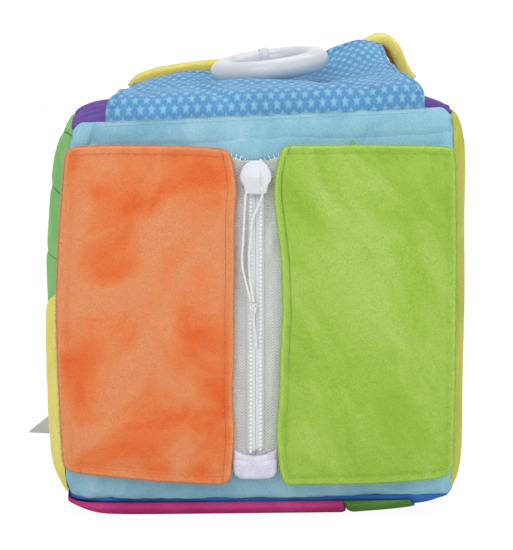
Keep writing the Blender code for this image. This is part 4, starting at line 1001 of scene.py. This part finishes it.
slider_mesh.set_sharp_from_angle(angle=math.radians(48))
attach(slider, "slider")
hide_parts("zip_slider")

# The pull: a white cord, twisted from three plies, that runs through the slider's ridge. Its two
# strands are knotted together, and one end hangs on below the knot.
CORD = 0.0010
CORD_TWIST = 0.0030
CORD_STEP = 0.0003
CORD_PLY = 0.14  # how far the plies stand out, as a share of the cord's radius
TUNNEL_Z = slider_foot + 0.24 * SLIDER_LENGTH
# Routes of the strands from the slider down, as (across, below the tunnel, off the front)
LEFT_STRAND = ((-0.0028, 0.0008, 0.0060), (-0.0036, 0.0030, 0.0056), (-0.0040, 0.0095, 0.0052),
               (-0.0045, 0.0191, 0.0051), (-0.0049, 0.0275, 0.0050), (-0.0034, 0.0352, 0.0051),
               (-0.0018, 0.0415, 0.0055))
RIGHT_STRAND = ((0.0012, -0.0010, 0.0068), (0.0021, 0.0012, 0.0067), (0.0022, 0.0032, 0.0061),
                (0.0013, 0.0060, 0.0055), (-0.0002, 0.0095, 0.0053), (-0.0014, 0.0131, 0.0052),
                (-0.0019, 0.0191, 0.0051), (-0.0024, 0.0245, 0.0051), (-0.0021, 0.0334, 0.0051),
                (-0.0014, 0.0380, 0.0053), (-0.0008, 0.0415, 0.0055))
TAIL = ((-0.0008, 0.0460, 0.0056), (-0.0006, 0.0500, 0.0052), (-0.0001, 0.0545, 0.0051),
        (0.0002, 0.0580, 0.0051))
KNOT_SPOT = (-0.0009, 0.0438, 0.0056)
KNOT_SIZE = (0.00040, 0.00055, 0.00066)
CORD_THREAD = thread_stuff("white_cord", (236, 237, 238))


def hung(points):
    """Points hung from the slider."""
    x, below, lift = np.asarray(points).T
    return on_zip(x, TUNNEL_Z - below, lift)


def run_of(path):
    """The length along a path."""
    return float(np.linalg.norm(np.diff(path, axis=0), axis=1).sum())


def twisted(name, path):
    """A three-ply cord along a path."""
    length = np.concatenate(([0], np.cumsum(np.linalg.norm(np.diff(path, axis=0), axis=1))))
    turn = circle(12)
    lobes = np.cos(3 * (turn[None, :] - length[:, None] * 2 * math.pi / CORD_TWIST))
    return tube(name, path, CORD / 2 * (1 - CORD_PLY + CORD_PLY * lobes), 12, CORD_THREAD)


strands = {}
for name, points in (("pull_cord_left", LEFT_STRAND), ("pull_cord_right", RIGHT_STRAND),
                     ("pull_cord_end", TAIL)):
    path = smooth_line(hung(points), int(run_of(hung(points)) / CORD_STEP))
    strands[name] = (twisted(name, path), path)
t = np.linspace(0.35, 2 * math.pi + 0.05, 110)
trefoil = (np.sin(t) + 2 * np.sin(2 * t), np.sin(3 * t), np.cos(t) - 2 * np.cos(2 * t))
knot = twisted("pull_knot", hung((KNOT_SPOT,))[0] + np.stack(trefoil, -1) * KNOT_SIZE)
for piece, node in ((strands["pull_cord_left"][0], None), (strands["pull_cord_right"][0], "pull_cord"),
                    (strands["pull_cord_end"][0], "pull_cord_tail"), (knot, "pull_cord_knot")):
    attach(piece, "slider")
    if node:
        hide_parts(node)
    tuple(on_zip(0.0, TUNNEL_Z, SLIDER_PLATE))
    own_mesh(piece)
for name in ("pull_cord_left", "pull_cord_right"):
    piece, path = strands[name]

# The two door flaps: plush over a thin lining, topstitched near the edge, sewn to the front's
# side seams and free at the zip. The left one is orange and hangs lower, the right one is lime.
FLAP_LINING_LIFT = 0.0023
FLAP_LIFT = 0.0034
FLAP_THICK = 0.0018
FLAP_CORNER = 0.0048
FLAP_BOW = 0.0008  # of its sewn edge
FLAP_ROUNDING = 0.0012
FLAP_SWELL = 0.00030
FLAP_NAP = 0.00008
FLAP_HANG = 0.0004  # how far its free half hangs off the front
# FLAP_RIM also sets how fast the painted rim highlight of the plush fades inwards.
FLAP_RIM = 0.0011  # how far in from its edges the stray fibres stand
FLAP_STEPS = (0.0, 0.0002, 0.0005, 0.0009, 0.0014, 0.0020, 0.0026, 0.0031, 0.0035, 0.0039, 0.0044, 0.0050)
TOPSTITCH_SINK, TOPSTITCH_REACH = 0.00042, 0.0008
TOPSTITCH_END = 0.0031  # its distance from the lower and the upper edge
TOPSTITCH_THREAD = 0.00030
LINING_SHRINK = 0.012  # how much smaller the lining is cut
LINING_GAP = 0.0002
FLAP_STEP = 0.0013
FIBRE_THICK = 0.00013
FIBRE_LENGTH = 0.0010
# Lighter colours for the doors' edges and stray fibres: painted highlight of the plush edges in the light.
ORANGE_RIM_HIGHLIGHT, LIME_RIM_HIGHLIGHT = (246, 172, 120), (192, 228, 112)
ORANGE_PLUSH = pile_cloth("orange_plush", (231, 106, 54), (232, 128, 74), (230, 147, 97), nap=0.026,
                          streak=(1.0, 1.0, 1.3), turn=0.5, sheen=0.45, stops=(0.34, 0.46, 0.60),
                          rim=ORANGE_RIM_HIGHLIGHT)
LIME_PLUSH = pile_cloth("lime_plush", (151, 188, 70), (161, 197, 80), (175, 205, 98), nap=0.018,
                        streak=(1.0, 1.0, 2.6), turn=-0.6, sheen=0.45, rim=LIME_RIM_HIGHLIGHT)
FLAPS = {
    # Hand, plush, painted rim highlight colour and thread colour, topstitch inset, sewn edge (across); then
    # its free, lower and upper edge as (across, height), and the heights of its sewn edge
    "left": (-1, ORANGE_PLUSH, ORANGE_RIM_HIGHLIGHT, (222, 112, 62), 0.0039, 0.0726,
             ((-0.0102, 0.0142), (-0.0100, 0.0197), (-0.0097, 0.0234), (-0.0094, 0.0270), (-0.0090, 0.0343),
              (-0.0095, 0.0452), (-0.0092, 0.0598), (-0.0090, 0.0670), (-0.0091, 0.0778), (-0.0088, 0.0905),
              (-0.0089, 0.1030), (-0.0086, 0.1138), (-0.0080, 0.1192), (-0.0084, 0.1245), (-0.0094, 0.1299),
              (-0.0102, 0.1356)),
             ((-0.0582, 0.0182), (-0.0402, 0.0162), (-0.0267, 0.0151), (-0.0149, 0.0145)),
             ((-0.0156, 0.1357), (-0.0263, 0.1365), (-0.0487, 0.1369), (-0.0600, 0.1366)),
             (0.0197, 0.1362)),
    "right": (1, LIME_PLUSH, LIME_RIM_HIGHLIGHT, (138, 184, 66), 0.0031, 0.0714,
              ((0.0086, 0.0138), (0.0080, 0.0177), (0.0074, 0.0214), (0.0070, 0.0250), (0.0066, 0.0290),
               (0.0064, 0.0330), (0.0066, 0.0378), (0.0073, 0.0451), (0.0076, 0.0560), (0.0081, 0.0705),
               (0.0086, 0.0748), (0.0084, 0.0849), (0.0080, 0.0958), (0.0072, 0.1030), (0.0066, 0.1083),
               (0.0059, 0.1137), (0.0055, 0.1191), (0.0057, 0.1245), (0.0067, 0.1298), (0.0080, 0.1370)),
              ((0.0186, 0.0141), (0.0367, 0.0141), (0.0549, 0.0149), (0.0640, 0.0156)),
              ((0.0121, 0.1367), (0.0362, 0.1368), (0.0585, 0.1365), (0.0660, 0.1362)),
              (0.0172, 0.1359)),
}


def fibre_tree(name):
    """Geometry nodes that stand short leaning fibres on a cloth, where its napped value is high."""
    tree, cloth = new_tree(name, "Cloth", ("Per Area", "Length", "Thickness"), "Fibre")
    napped = add_node(tree, "GeometryNodeInputNamedAttribute", {"Name": "napped"}, data_type="FLOAT")
    density = maths(tree, "MULTIPLY", napped.outputs["Attribute"], cloth["Per Area"])
    roots = add_node(tree, "GeometryNodeDistributePointsOnFaces", {
        "Mesh": cloth["Cloth"], "Density": density, "Seed": 5})
    lean = add_node(tree, "FunctionNodeRandomValue", {
        "Min": (-0.7, -0.7, 0.0), "Max": (0.7, 0.7, 6.28), "Seed": 6}, data_type="FLOAT_VECTOR")
    leaning = add_node(tree, "FunctionNodeEulerToRotation", {"Euler": lean.outputs["Value"]})
    turned = add_node(tree, "FunctionNodeRotateRotation", {
        "Rotation": roots.outputs["Rotation"], "Rotate By": leaning.outputs[0]}, rotation_space="LOCAL")
    uneven = add_node(tree, "FunctionNodeRandomValue", {"Min": 0.5, "Max": 1.2, "Seed": 7},
                      data_type="FLOAT")
    length = maths(tree, "MULTIPLY", cloth["Length"], uneven.outputs["Value"])
    size = add_node(tree, "ShaderNodeCombineXYZ", {
        0: cloth["Thickness"], 1: cloth["Thickness"], 2: length})
    spike = add_node(tree, "GeometryNodeMeshCone", {
        "Vertices": 3, "Radius Top": 0.0, "Radius Bottom": 0.5, "Depth": 1.0}, fill_type="NGON")
    stood = add_node(tree, "GeometryNodeInstanceOnPoints", {
        "Points": roots.outputs["Points"], "Instance": spike.outputs["Mesh"],
        "Rotation": turned.outputs[0], "Scale": size.outputs[0]})
    return end_tree(tree, stood.outputs[0], cloth["Fibre"])


def spanned(corners, sides, radius, u, v):
    """A grid that spans four sides of points between rounded corners, at shares u and v."""

    def beside(corner, point):
        return corner + (point - corner) / np.linalg.norm(point - corner) * radius

    corners = [np.array(corner) for corner in corners]
    sides = [[np.array(point) for point in side] for side in sides]
    k = np.linspace(0, 1, 7)[:, None]
    curves = []
    for i, side in enumerate(sides):
        here, there = corners[i], corners[(i + 1) % 4]
        p0, p1 = beside(here, sides[i - 1][-1]), beside(here, side[0])
        q0, q1 = beside(there, side[-1]), beside(there, sides[(i + 1) % 4][0])
        m, n = (p0 + 2 * here + p1) / 4, (q0 + 2 * there + q1) / 4
        first = m * (1 - k) ** 2 + (here + p1) / 2 * 2 * k * (1 - k) + p1 * k ** 2
        last = q0 * (1 - k) ** 2 + (there + q0) / 2 * 2 * k * (1 - k) + n * k ** 2
        kept = [p for p in side
                if min(np.linalg.norm(p - here), np.linalg.norm(p - there)) > 1.3 * radius]
        curves.append(np.concatenate([first] + ([np.array(kept)] if kept else []) + [last]))
    low, right, high, left = curves
    low, high = smooth_line(low, u)[:, None], smooth_line(high[::-1], u)[:, None]
    right, left = smooth_line(right, v)[None], smooth_line(left[::-1], v)[None]
    a, b = u[:, None, None], v[None, :, None]
    corner_mix = ((1 - a) * (1 - b) * low[:1] + a * (1 - b) * low[-1:] + a * b * high[-1:]
                  + (1 - a) * b * high[:1])
    return (1 - b) * low + b * high + (1 - a) * left + a * right - corner_mix


FIBRES = fibre_tree("stray_fibres")
for side, (hand, plush, rim, thread_colour, topstitch, sewn_x, *edges) in FLAPS.items():
    free, low_edge, high_edge, ends = edges
    free = np.array(free)
    heights = np.linspace(*ends, 11)
    bow = sewn_x - FLAP_BOW * np.linspace(-1, 1, 11) ** 2
    sewn_edge = np.stack((hand * bow * (drawn_in(heights) if hand < 0 else 1.0), heights), -1)
    corners = [sewn_edge[0], free[0], free[-1], sewn_edge[-1]]
    width, height = abs(free[:, 0].mean() - sewn_edge[:, 0].mean()), ends[1] - ends[0]
    us, vs = crowded(width, FLAP_STEP, FLAP_STEPS), crowded(height, FLAP_STEP, FLAP_STEPS)
    low_edge = low_edge if hand < 0 else low_edge[::-1]
    flat = spanned(corners, (low_edge, free[1:-1], high_edge, sewn_edge[-2:0:-1]), FLAP_CORNER, us, vs)
    u, v = crossed(us, vs)
    x, z = flat[..., 0], flat[..., 1]
    inset = edge_distance(u, v, width, height)
    puff = crowned(inset, FLAP_THICK, FLAP_ROUNDING)
    puff -= TOPSTITCH_SINK * bell(inset - topstitch, TOPSTITCH_REACH)
    puff += FLAP_SWELL * ramp(inset - 0.004, 0.010) * (1 + lumps(x, z, 0.016, 30 + hand))
    puff += FLAP_NAP * lumps(x, z, 0.0040, 33 + hand)
    hang = FLAP_HANG * np.clip(u - 0.6, 0, 1) * (1 + lumps(0 * z, z, 0.018, 36 + hand))
    face = layer(f"{side}_door_plush", on_front(x, z, FLAP_LIFT + hang + puff),
                 on_front(x, z, FLAP_LIFT + hang), plush, napped=np.exp(-inset / FLAP_RIM) + 0.03)
    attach(face, f"{side}_door")
    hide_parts(f"{side}_flap")
    # The stray fibres take the lighter rim colour: painted highlight that also makes up for the shade the
    # fibres cast on each other.
    fuzz = run_nodes(f"{side}_door_fibres", face.data, FIBRES, Per_Area=1.1e7, Length=FIBRE_LENGTH,
                     Thickness=FIBRE_THICK, Fibre=thread_stuff(f"{side}_door_pile", rim))
    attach(fuzz, f"{side}_door")
    lining_flat = flat + (flat.mean((0, 1)) - flat) * LINING_SHRINK
    x, z = lining_flat[..., 0], lining_flat[..., 1]
    lining = layer(f"{side}_door_lining", on_front(x, z, FLAP_LIFT - LINING_GAP + hang),
                   on_front(x, z, FLAP_LINING_LIFT + hang), LINING_CLOTH, lining_flat)
    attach(lining, f"{side}_door")
    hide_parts(f"{side}_flap_lining")
    low_u = np.argmin(np.abs(us * width - topstitch))
    low_v = np.argmin(np.abs(vs * height - TOPSTITCH_END))
    inner_u, inner_v = slice(low_u, len(us) - low_u), slice(low_v, len(vs) - low_v)
    sewn = on_front(flat[..., 0], flat[..., 1], FLAP_LIFT + hang + puff - 0.00002)
    lines = [sewn[inner_u, low_v], sewn[-1 - low_u, inner_v], sewn[inner_u, -1 - low_v]]
    stitching = sewn_rows(f"{side}_door_topstitch", lines, STITCHES, Pitch=0.0024, Length=0.0021,
                          Width=TOPSTITCH_THREAD, Thickness=TOPSTITCH_THREAD,
                          Thread=thread_stuff(f"{side}_door_thread", thread_colour))
    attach(stitching, f"{side}_door")

# The star flap: printed cotton, a crinkle film and a lining over the same waves, sewn in the
# front's top seam and lying back over the top.
STAR_NARROWING = (0.12, 0.085)  # of its left and right half, towards the back
STAR_PROFILE = ((-0.0012, -0.0002), (-0.0016, 0.0036), (0.0006, 0.0068), (0.0060, 0.0080), (0.0130, 0.0088),
                (0.0205, 0.0096), (0.0290, 0.0078), (0.0420, 0.0068), (0.0550, 0.0070), (0.0670, 0.0078),
                (0.0790, 0.0086))
# Swells and hollows of the cloth, as (across, behind the seam, rise, reach across, reach back)
STAR_WAVES = ((0.0455, 0.0770, 0.0130, 0.0175, 0.0170), (0.0265, 0.0860, 0.0090, 0.0115, 0.0085),
              (-0.0270, 0.0715, 0.0042, 0.0130, 0.0130), (-0.0150, 0.0820, 0.0036, 0.0110, 0.0075),
              (-0.0310, 0.0270, -0.0015, 0.0130, 0.0100), (0.0330, 0.0270, -0.0015, 0.0090, 0.0110),
              (-0.0040, 0.0190, 0.0016, 0.0120, 0.0080), (0.0520, 0.0080, 0.0014, 0.0110, 0.0090),
              (0.0560, 0.0480, 0.0060, 0.0120, 0.0200))
# Dents over the front roll, as (across, along the cloth, depth, half width, half length, slant)
STAR_DENTS = ((-0.0140, 0.0100, 0.0019, 0.0036, 0.0085, -0.8),
              (0.0320, 0.0180, 0.0022, 0.0042, 0.0130, -0.7),
              (-0.0400, 0.0130, 0.0013, 0.0040, 0.0080, -0.6),
              (0.0080, 0.0080, 0.0007, 0.0030, 0.0060, 0.4),
              (0.0480, 0.0150, 0.0010, 0.0034, 0.0070, -0.5))
CORNER_CURL = 0.0030  # how far the flap's sides come in over its front roll
CURL_START, CURL_REACH = 0.0050, 0.0080  # where along the cloth they do
STAR_LIFT = 0.0015
STAR_THICK = 0.0009
FINE_CRINKLE, COARSE_CRINKLE = 0.00022, 0.00040
FILM_LIFTS = (0.0012, 0.00145)
UNDERSIDE_LIFTS = (0.0002, 0.0011)
HEM_INSET = 0.0028
HEM_SINK, HEM_REACH = 0.00030, 0.0006
HEM_THREAD = 0.00038
FACING_HEIGHT = 0.0016  # of the velour edge that covers the sewn-in edge
FACING_LAP = 0.0006  # how far it reaches down in front of the front's upper edge
FACING_THICK = 0.0004
FACING_WAVE = 0.00025
star_line = smooth_line([(FRONT_SEAM_Y + back, TOP_SEAM_Z + up) for back, up in STAR_PROFILE], 400)
STAR_LENGTH = run_of(star_line)
star_slope = np.gradient(star_line, axis=0)
star_slope /= np.linalg.norm(star_slope, axis=1, keepdims=True)


def on_star_flap(across, along, lift):
    """The points of the star flap at distances across and along the flat cloth."""
    across, along, lift = np.broadcast_arrays(across, along, lift)
    k = np.clip(along / STAR_LENGTH, 0, 1) * (len(star_line) - 1)
    base_y, base_z, slope_y, slope_z = (np.interp(k, np.arange(len(star_line)), line)
                                        for line in (*star_line.T, *star_slope.T))
    x = STAR_OFFSET + across * (1 - np.where(across < 0, *STAR_NARROWING) * along / STAR_LENGTH)
    over = eased(ramp(along - CURL_START, CURL_REACH))
    x = x - CORNER_CURL * np.sign(across) * over * np.abs(2 * across / STAR_WIDTH) ** 8
    points = np.stack((x, base_y - slope_z * lift, base_z + slope_y * lift), -1)
    for wave_x, wave_back, rise, reach_x, reach_back in STAR_WAVES:
        apart = ((x - wave_x) / reach_x) ** 2 + ((base_y - FRONT_SEAM_Y - wave_back) / reach_back) ** 2
        points[..., 2] += rise * np.exp(-apart)
    return leaned(points)


def star_cotton(name, ground, star, across_pitch=0.0041, row_pitch=0.0027, reach=0.00150):
    """Cotton printed with rows of small five-point stars, every other row shifted by half a step."""
    material, tree, shader = new_finish(name, {
        "Roughness": 0.85, "Specular IOR Level": 0.2, "Sheen Weight": 0.15})

    def sums(operation, *values):
        return maths(tree, operation, *values)

    flat = add_node(tree, "ShaderNodeUVMap", uv_map="cloth").outputs["UV"]
    split = add_node(tree, "ShaderNodeSeparateXYZ", {0: flat}).outputs
    row = sums("DIVIDE", split["Y"], row_pitch)
    odd = sums("MULTIPLY", sums("FLOORED_MODULO", sums("FLOOR", row), 2.0), 0.5)
    column = sums("ADD", sums("DIVIDE", split["X"], across_pitch), odd)
    star_x = sums("MULTIPLY", sums("SUBTRACT", sums("FRACT", column), 0.5), across_pitch)
    star_y = sums("MULTIPLY", sums("SUBTRACT", sums("FRACT", row), 0.5), row_pitch)
    away = sums("SQRT", sums("ADD", sums("MULTIPLY", star_x, star_x), sums("MULTIPLY", star_y, star_y)))
    arm = sums("PINGPONG", sums("ARCTAN2", star_x, star_y), math.pi / 5)
    notch = 0.52 * reach
    side_a = notch * math.sin(math.pi / 5)
    side_b = reach - notch * math.cos(math.pi / 5)
    tip = sums("MULTIPLY", sums("MULTIPLY", away, sums("COSINE", arm)), side_a)
    flank = sums("MULTIPLY", sums("MULTIPLY", away, sums("SINE", arm)), side_b)
    edge = sums("DIVIDE", sums("ADD", tip, flank), side_a * reach)
    printed = spread(tree, edge, 0.40, 1.45, 0.9, 0.0)
    cloth = add_node(tree, "ShaderNodeMix", {"Factor": printed, "A": ink(*ground), "B": ink(*star)},
                     data_type="RGBA")
    wear_and_rim_light = sums("ADD", noise(tree, flat, 900.0, 3.0), noise(tree, flat, 60.0, 3.0))
    dye(tree, shader, cloth.outputs["Result"], spread(tree, wear_and_rim_light, 0.7, 1.3, 0.90, 1.08))
    roughen(tree, shader, noise(tree, flat, 2400.0, 1.0), 0.35, 0.0003)
    return material


us, vs = crowded(STAR_WIDTH, 0.0010), crowded(STAR_LENGTH, 0.0009)
u, v = crossed(us, vs)
across, along = STAR_WIDTH * (u - 0.5), STAR_LENGTH * v
inset = edge_distance(u, np.clip(v, 0.2, 1), STAR_WIDTH, STAR_LENGTH)
crinkle = FINE_CRINKLE * lumps(across, along, 0.0055, 41)
crinkle += COARSE_CRINKLE * lumps(across, along * 0.6, 0.011, 42)
for dent_x, dent_along, depth, half, length, slant in STAR_DENTS:
    apart = across + STAR_OFFSET - dent_x - slant * (along - dent_along)
    crinkle -= depth * bell(apart, half) * bell(along - dent_along, length)
crinkle *= ramp(along, 0.006)
hem = -HEM_SINK * bell(inset - HEM_INSET, HEM_REACH)
star_top = STAR_LIFT + crowned(inset, STAR_THICK, STAR_THICK) + hem + crinkle
STAR_COTTON = star_cotton("star_print_cotton", (90, 149, 197), (142, 192, 215))
for name, node, low, high, cloth in (
    ("star_flap_cotton", "star_flap", STAR_LIFT + crinkle, star_top, STAR_COTTON),
    ("star_flap_crinkle", "star_flap_film", FILM_LIFTS[0] + crinkle, FILM_LIFTS[1] + crinkle,
     moulded_plastic("crinkle_film", (222, 224, 228), 0.25)),
    ("star_flap_underside", "star_flap_lining", UNDERSIDE_LIFTS[0] + np.minimum(crinkle, 0),
     UNDERSIDE_LIFTS[1] + crinkle, PANELS["front"][2]),
):
    sheet = layer(name, on_star_flap(across, along, high), on_star_flap(across, along, low), cloth,
                  np.stack((across, along), -1))
    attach(sheet, "top_flap")
    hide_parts(node)
hem_row = [np.argmin(np.abs(us * STAR_WIDTH - HEM_INSET)),
           np.argmin(np.abs(vs * STAR_LENGTH - HEM_INSET))]
stitched = on_star_flap(across, along, star_top + 0.0001)
hem_lines = [stitched[hem_row[0], 8:-hem_row[1]], stitched[-1 - hem_row[0], 8:-hem_row[1]],
             stitched[hem_row[0]:-hem_row[0], -1 - hem_row[1]]]
hem_thread = sewn_rows("star_flap_hem_stitch", hem_lines, STITCHES, Pitch=0.0026, Length=0.0020,
                       Width=HEM_THREAD, Thickness=HEM_THREAD,
                       Thread=thread_stuff("blue_thread", (70, 128, 190)))
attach(hem_thread, "top_flap")
x, level = crossed(STAR_OFFSET + STAR_WIDTH * np.linspace(-0.502, 0.502, 160), np.linspace(0, 1, 9))
z = EDGE_TOP_Z - FACING_LAP + FACING_HEIGHT * level
z = z + FACING_WAVE * level * lumps(x, 0 * x, 0.004, 45)
lip = leaned(np.stack((x, EDGE_Y - 0.00006 + 0.0001 * level, z), -1))
facing = layer("star_flap_facing", lip, lip + (0.0, FACING_THICK, 0.0), PANELS["front"][2],
               napped=level ** 6)
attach(facing, "top_flap")
# Its stray fibres are paler than the velour: painted highlight on the fuzzy upper edge.
frayed = run_nodes("star_flap_fray", facing.data, FIBRES, Per_Area=4.0e7, Length=FIBRE_LENGTH / 2,
                   Thickness=FIBRE_THICK, Fibre=thread_stuff("frayed_velour", (196, 222, 232)))
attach(frayed, "top_flap")

# The ring: glossy white plastic, moulded in one piece. It lies on the star flap, with its front
# sunk a little into the soft cloth.
RING_RADIUS = 0.0181
RING_TUBE = (0.0088, 0.0080)
RING_NOD = 4.4  # degrees that its front sinks into the soft flap
ring_middle = np.array((0.0072, -0.022218, 0.164092))
ring_x = np.array((0.990748, 0.0, 0.135715))
ring_axis = np.array((-0.135710, -0.008726, 0.990710))
ring_y = np.cross(ring_axis, ring_x)
nod = math.radians(RING_NOD)
ring_back = ring_y * math.cos(nod) + ring_axis * math.sin(nod)
ring_up = ring_axis * math.cos(nod) - ring_y * math.sin(nod)
turn, slice_turn = crossed(circle(128), circle(32))
out = RING_RADIUS + RING_TUBE[0] / 2 * np.cos(slice_turn)
up = RING_TUBE[1] / 2 * np.sin(slice_turn)
points = (ring_middle + (out * np.cos(turn))[..., None] * ring_x
          + (out * np.sin(turn))[..., None] * ring_back + up[..., None] * ring_up)
index = np.arange(turn.size).reshape(turn.shape)
next_turn = np.roll(index, -1, 0)
quads = np.stack((index, next_turn, np.roll(next_turn, -1, 1), np.roll(index, -1, 1)), -1)
ring_mesh = bpy.data.meshes.new("teether_ring")
ring_mesh.from_pydata(points.reshape(-1, 3).tolist(), [], quads.reshape(-1, 4).tolist())
ring = link_mesh("teether_ring", ring_mesh, moulded_plastic("ring_plastic", (208, 210, 214), 0.20))
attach(ring, "ring_body")
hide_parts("ring")

# The ribbon: a narrow white satin ribbon, woven, laid in a loop round the ring and sewn to the
# star flap behind it.
RIBBON_HALF = 0.0016
RIBBON_CLEAR = 0.0002
RIBBON_SLACK = RING_RADIUS * math.sin(nod) + 0.0001  # up and down, for a ring that nods as it turns
RIBBON_THICK = 0.0003
RIBBON_PINCH = 0.0003  # half the gap between its two ends
RIBBON_TUCK = 0.0020
RIBBON_OPEN = math.radians(50)  # half the angle left open towards its pinched ends
RIBBON_LENGTH = 0.032
RIBBON_ROOT = (0.007214, 0.004559, 0.158916)  # where it is sewn to the flap
RIBBON_SATIN = weave("white_ribbon_satin", (214, 217, 224), thread=0.0003, depth=0.1, contrast=0.02)
pinch = np.array(RIBBON_ROOT) - ring_middle
pinch_x, pinch_back, pinch_up = pinch @ ring_x, pinch @ ring_y - RING_RADIUS, pinch @ ring_axis
start = math.atan2(pinch_up, pinch_back) + RIBBON_OPEN
turns = start + np.linspace(0, 2 * math.pi - 2 * RIBBON_OPEN, 48)
slack = RIBBON_SLACK * np.clip(4 * np.sin(turns), -1, 1)
sides = []
for clear, tuck in ((RIBBON_CLEAR + RIBBON_THICK, 0.0), (RIBBON_CLEAR, RIBBON_TUCK)):
    root_y = pinch_back - tuck
    loop_y = np.concatenate(([root_y], (RING_TUBE[0] / 2 + clear) * np.cos(turns), [root_y]))
    loop_z = (RING_TUBE[1] / 2 + clear) * np.sin(turns) + slack
    loop_z = np.concatenate(([pinch_up + RIBBON_PINCH], loop_z, [pinch_up - RIBBON_PINCH]))
    sides.append(np.stack((loop_y, loop_z), -1))
width = np.linspace(-RIBBON_HALF, RIBBON_HALF, 9)
grids = [ring_middle + (pinch_x + width)[None, :, None] * ring_x
         + (RING_RADIUS + side[:, 0])[:, None, None] * ring_y + side[:, 1][:, None, None] * ring_axis
         for side in sides]
flat = np.stack(crossed(np.linspace(0, RIBBON_LENGTH, len(turns) + 2), width), -1)
ribbon = layer("ring_ribbon_loop", grids[0], grids[1], RIBBON_SATIN, flat)
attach(ribbon, "ribbon")
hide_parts("ring_ribbon")

# The handle strap: a padded band of yellow velour, gathered at both ends and sewn to the top.
# Its underside is a darker golden velour that paints the shade under the band.
STRAP_Y = FRONT_SEAM_Y + 0.0990
STRAP_WIDTH = 0.0160
STRAP_THICK = 0.0056
STRAP_END = 0.0052
STRAP_BELLY = 0.0012  # how much further its underside stands out
GATHER = 0.0006
GATHER_REACH = 0.0125
STRAP_LEFT_FOOT, STRAP_RIGHT_FOOT = (-0.0440, 0.153430), (0.0660, 0.156532)
# Its middle line between the two feet, as (across, above the top seam)
STRAP_ARCH = ((-0.0408, 0.0106), (-0.0315, 0.0136), (-0.0188, 0.0155), (-0.0090, 0.0162), (0.0100, 0.0166),
              (0.0300, 0.0182), (0.0440, 0.0222), (0.0538, 0.0266), (0.0590, 0.0236), (0.0624, 0.0160))
strap_arch = [(x, TOP_SEAM_Z + up) for x, up in STRAP_ARCH]
strap_line = smooth_line([STRAP_LEFT_FOOT, *strap_arch, STRAP_RIGHT_FOOT], 140)
slope = np.gradient(strap_line, axis=0)
slope /= np.linalg.norm(slope, axis=1, keepdims=True)
share = np.linspace(0, 1, 140)
run = run_of(strap_line)
opened = ramp(np.minimum(share, 1 - share) * run, GATHER_REACH)
half = (STRAP_END + (STRAP_WIDTH - STRAP_END) * opened ** 0.8) / 2
turn = circle(48)
c, s = np.cos(turn), np.sin(turn)
gathers = GATHER * (1 - opened[:, None]) * np.cos(7 * turn)[None]
gathers = gathers + 0.00015 * lumps(share[:, None] * run, turn[None] * 0.005, 0.006, 51)
across = half[:, None] * np.sign(c) * np.abs(c) ** 0.6
thick = STRAP_THICK / 2 - 0.0004 + gathers + STRAP_BELLY * opened[:, None] * (s < 0)
above = thick * np.sign(s) * np.abs(s) ** 0.7
rings = np.stack((strap_line[:, None, 0] - slope[:, None, 1] * above, STRAP_Y + across,
                  strap_line[:, None, 1] + slope[:, None, 0] * above), -1)
strap = tube_mesh("handle_band", rings, YELLOW_VELOUR)
# The faces underneath take the darker golden velour: painted shade under the band.
strap.data.materials.append(pile_cloth("golden_velour", (196, 140, 44), (212, 158, 56), (222, 176, 80)))
shaded_underside = np.tile(s < -0.55, len(strap_line) - 1)
for face in strap.data.polygons[:len(shaded_underside)]:
    face.material_index = int(shaded_underside[face.index])
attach(strap, "handle")
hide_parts("handle_strap")

# The label: a bare white ribbon of woven satin, folded double, cut aslant and caught in the left
# rear seam.
LABEL_HALF = 0.0046
LABEL_LENGTH = 0.0177
LABEL_THICK = 0.0004
LABEL_FOLD = 0.0009
LABEL_SLANT = 0.96
LABEL_CUT = 0.38  # where along its length the slant begins
LABEL_DROP = 0.0005
label_root = np.array((-0.071594, 0.073180, 0.0125))
label_turn = math.radians(72.0)
outwards = np.array((-math.sin(label_turn), math.cos(label_turn), 0.0))
sideways = np.array((math.cos(label_turn), math.sin(label_turn), 0.0))
reach = LABEL_LENGTH - LABEL_FOLD / 2 - LABEL_THICK
straight = np.linspace(0, reach, 16)
bend = np.linspace(-math.pi / 2, math.pi / 2, 13)
level = np.linspace(0, 1, 13)
grids = []
for offset in (LABEL_FOLD / 2 + LABEL_THICK, LABEL_FOLD / 2):
    out = np.concatenate((straight[:-1], reach + offset * np.cos(bend), straight[-2::-1]))
    side = np.concatenate((np.full(15, -offset), offset * np.sin(bend), np.full(15, offset)))
    points = label_root + out[:, None] * outwards + side[:, None] * sideways
    points = np.repeat(points[:, None], len(level), 1)
    cut = LABEL_SLANT * ramp(out[:, None] / LABEL_LENGTH - LABEL_CUT, 1 - LABEL_CUT)
    points[..., 2] += LABEL_HALF * (2 * level - 1) - 2 * LABEL_HALF * cut * level - LABEL_DROP
    grids.append(points)
flat = np.stack(crossed(np.linspace(0, 2 * LABEL_LENGTH, len(out)), 2 * LABEL_HALF * level), -1)
label = layer("bare_label", grids[0], grids[1],
              weave("white_label_satin", (206, 208, 208), thread=0.0003), flat)
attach(label, "label")
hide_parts("side_label")

size = [[list(corner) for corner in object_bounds()], cad_box]
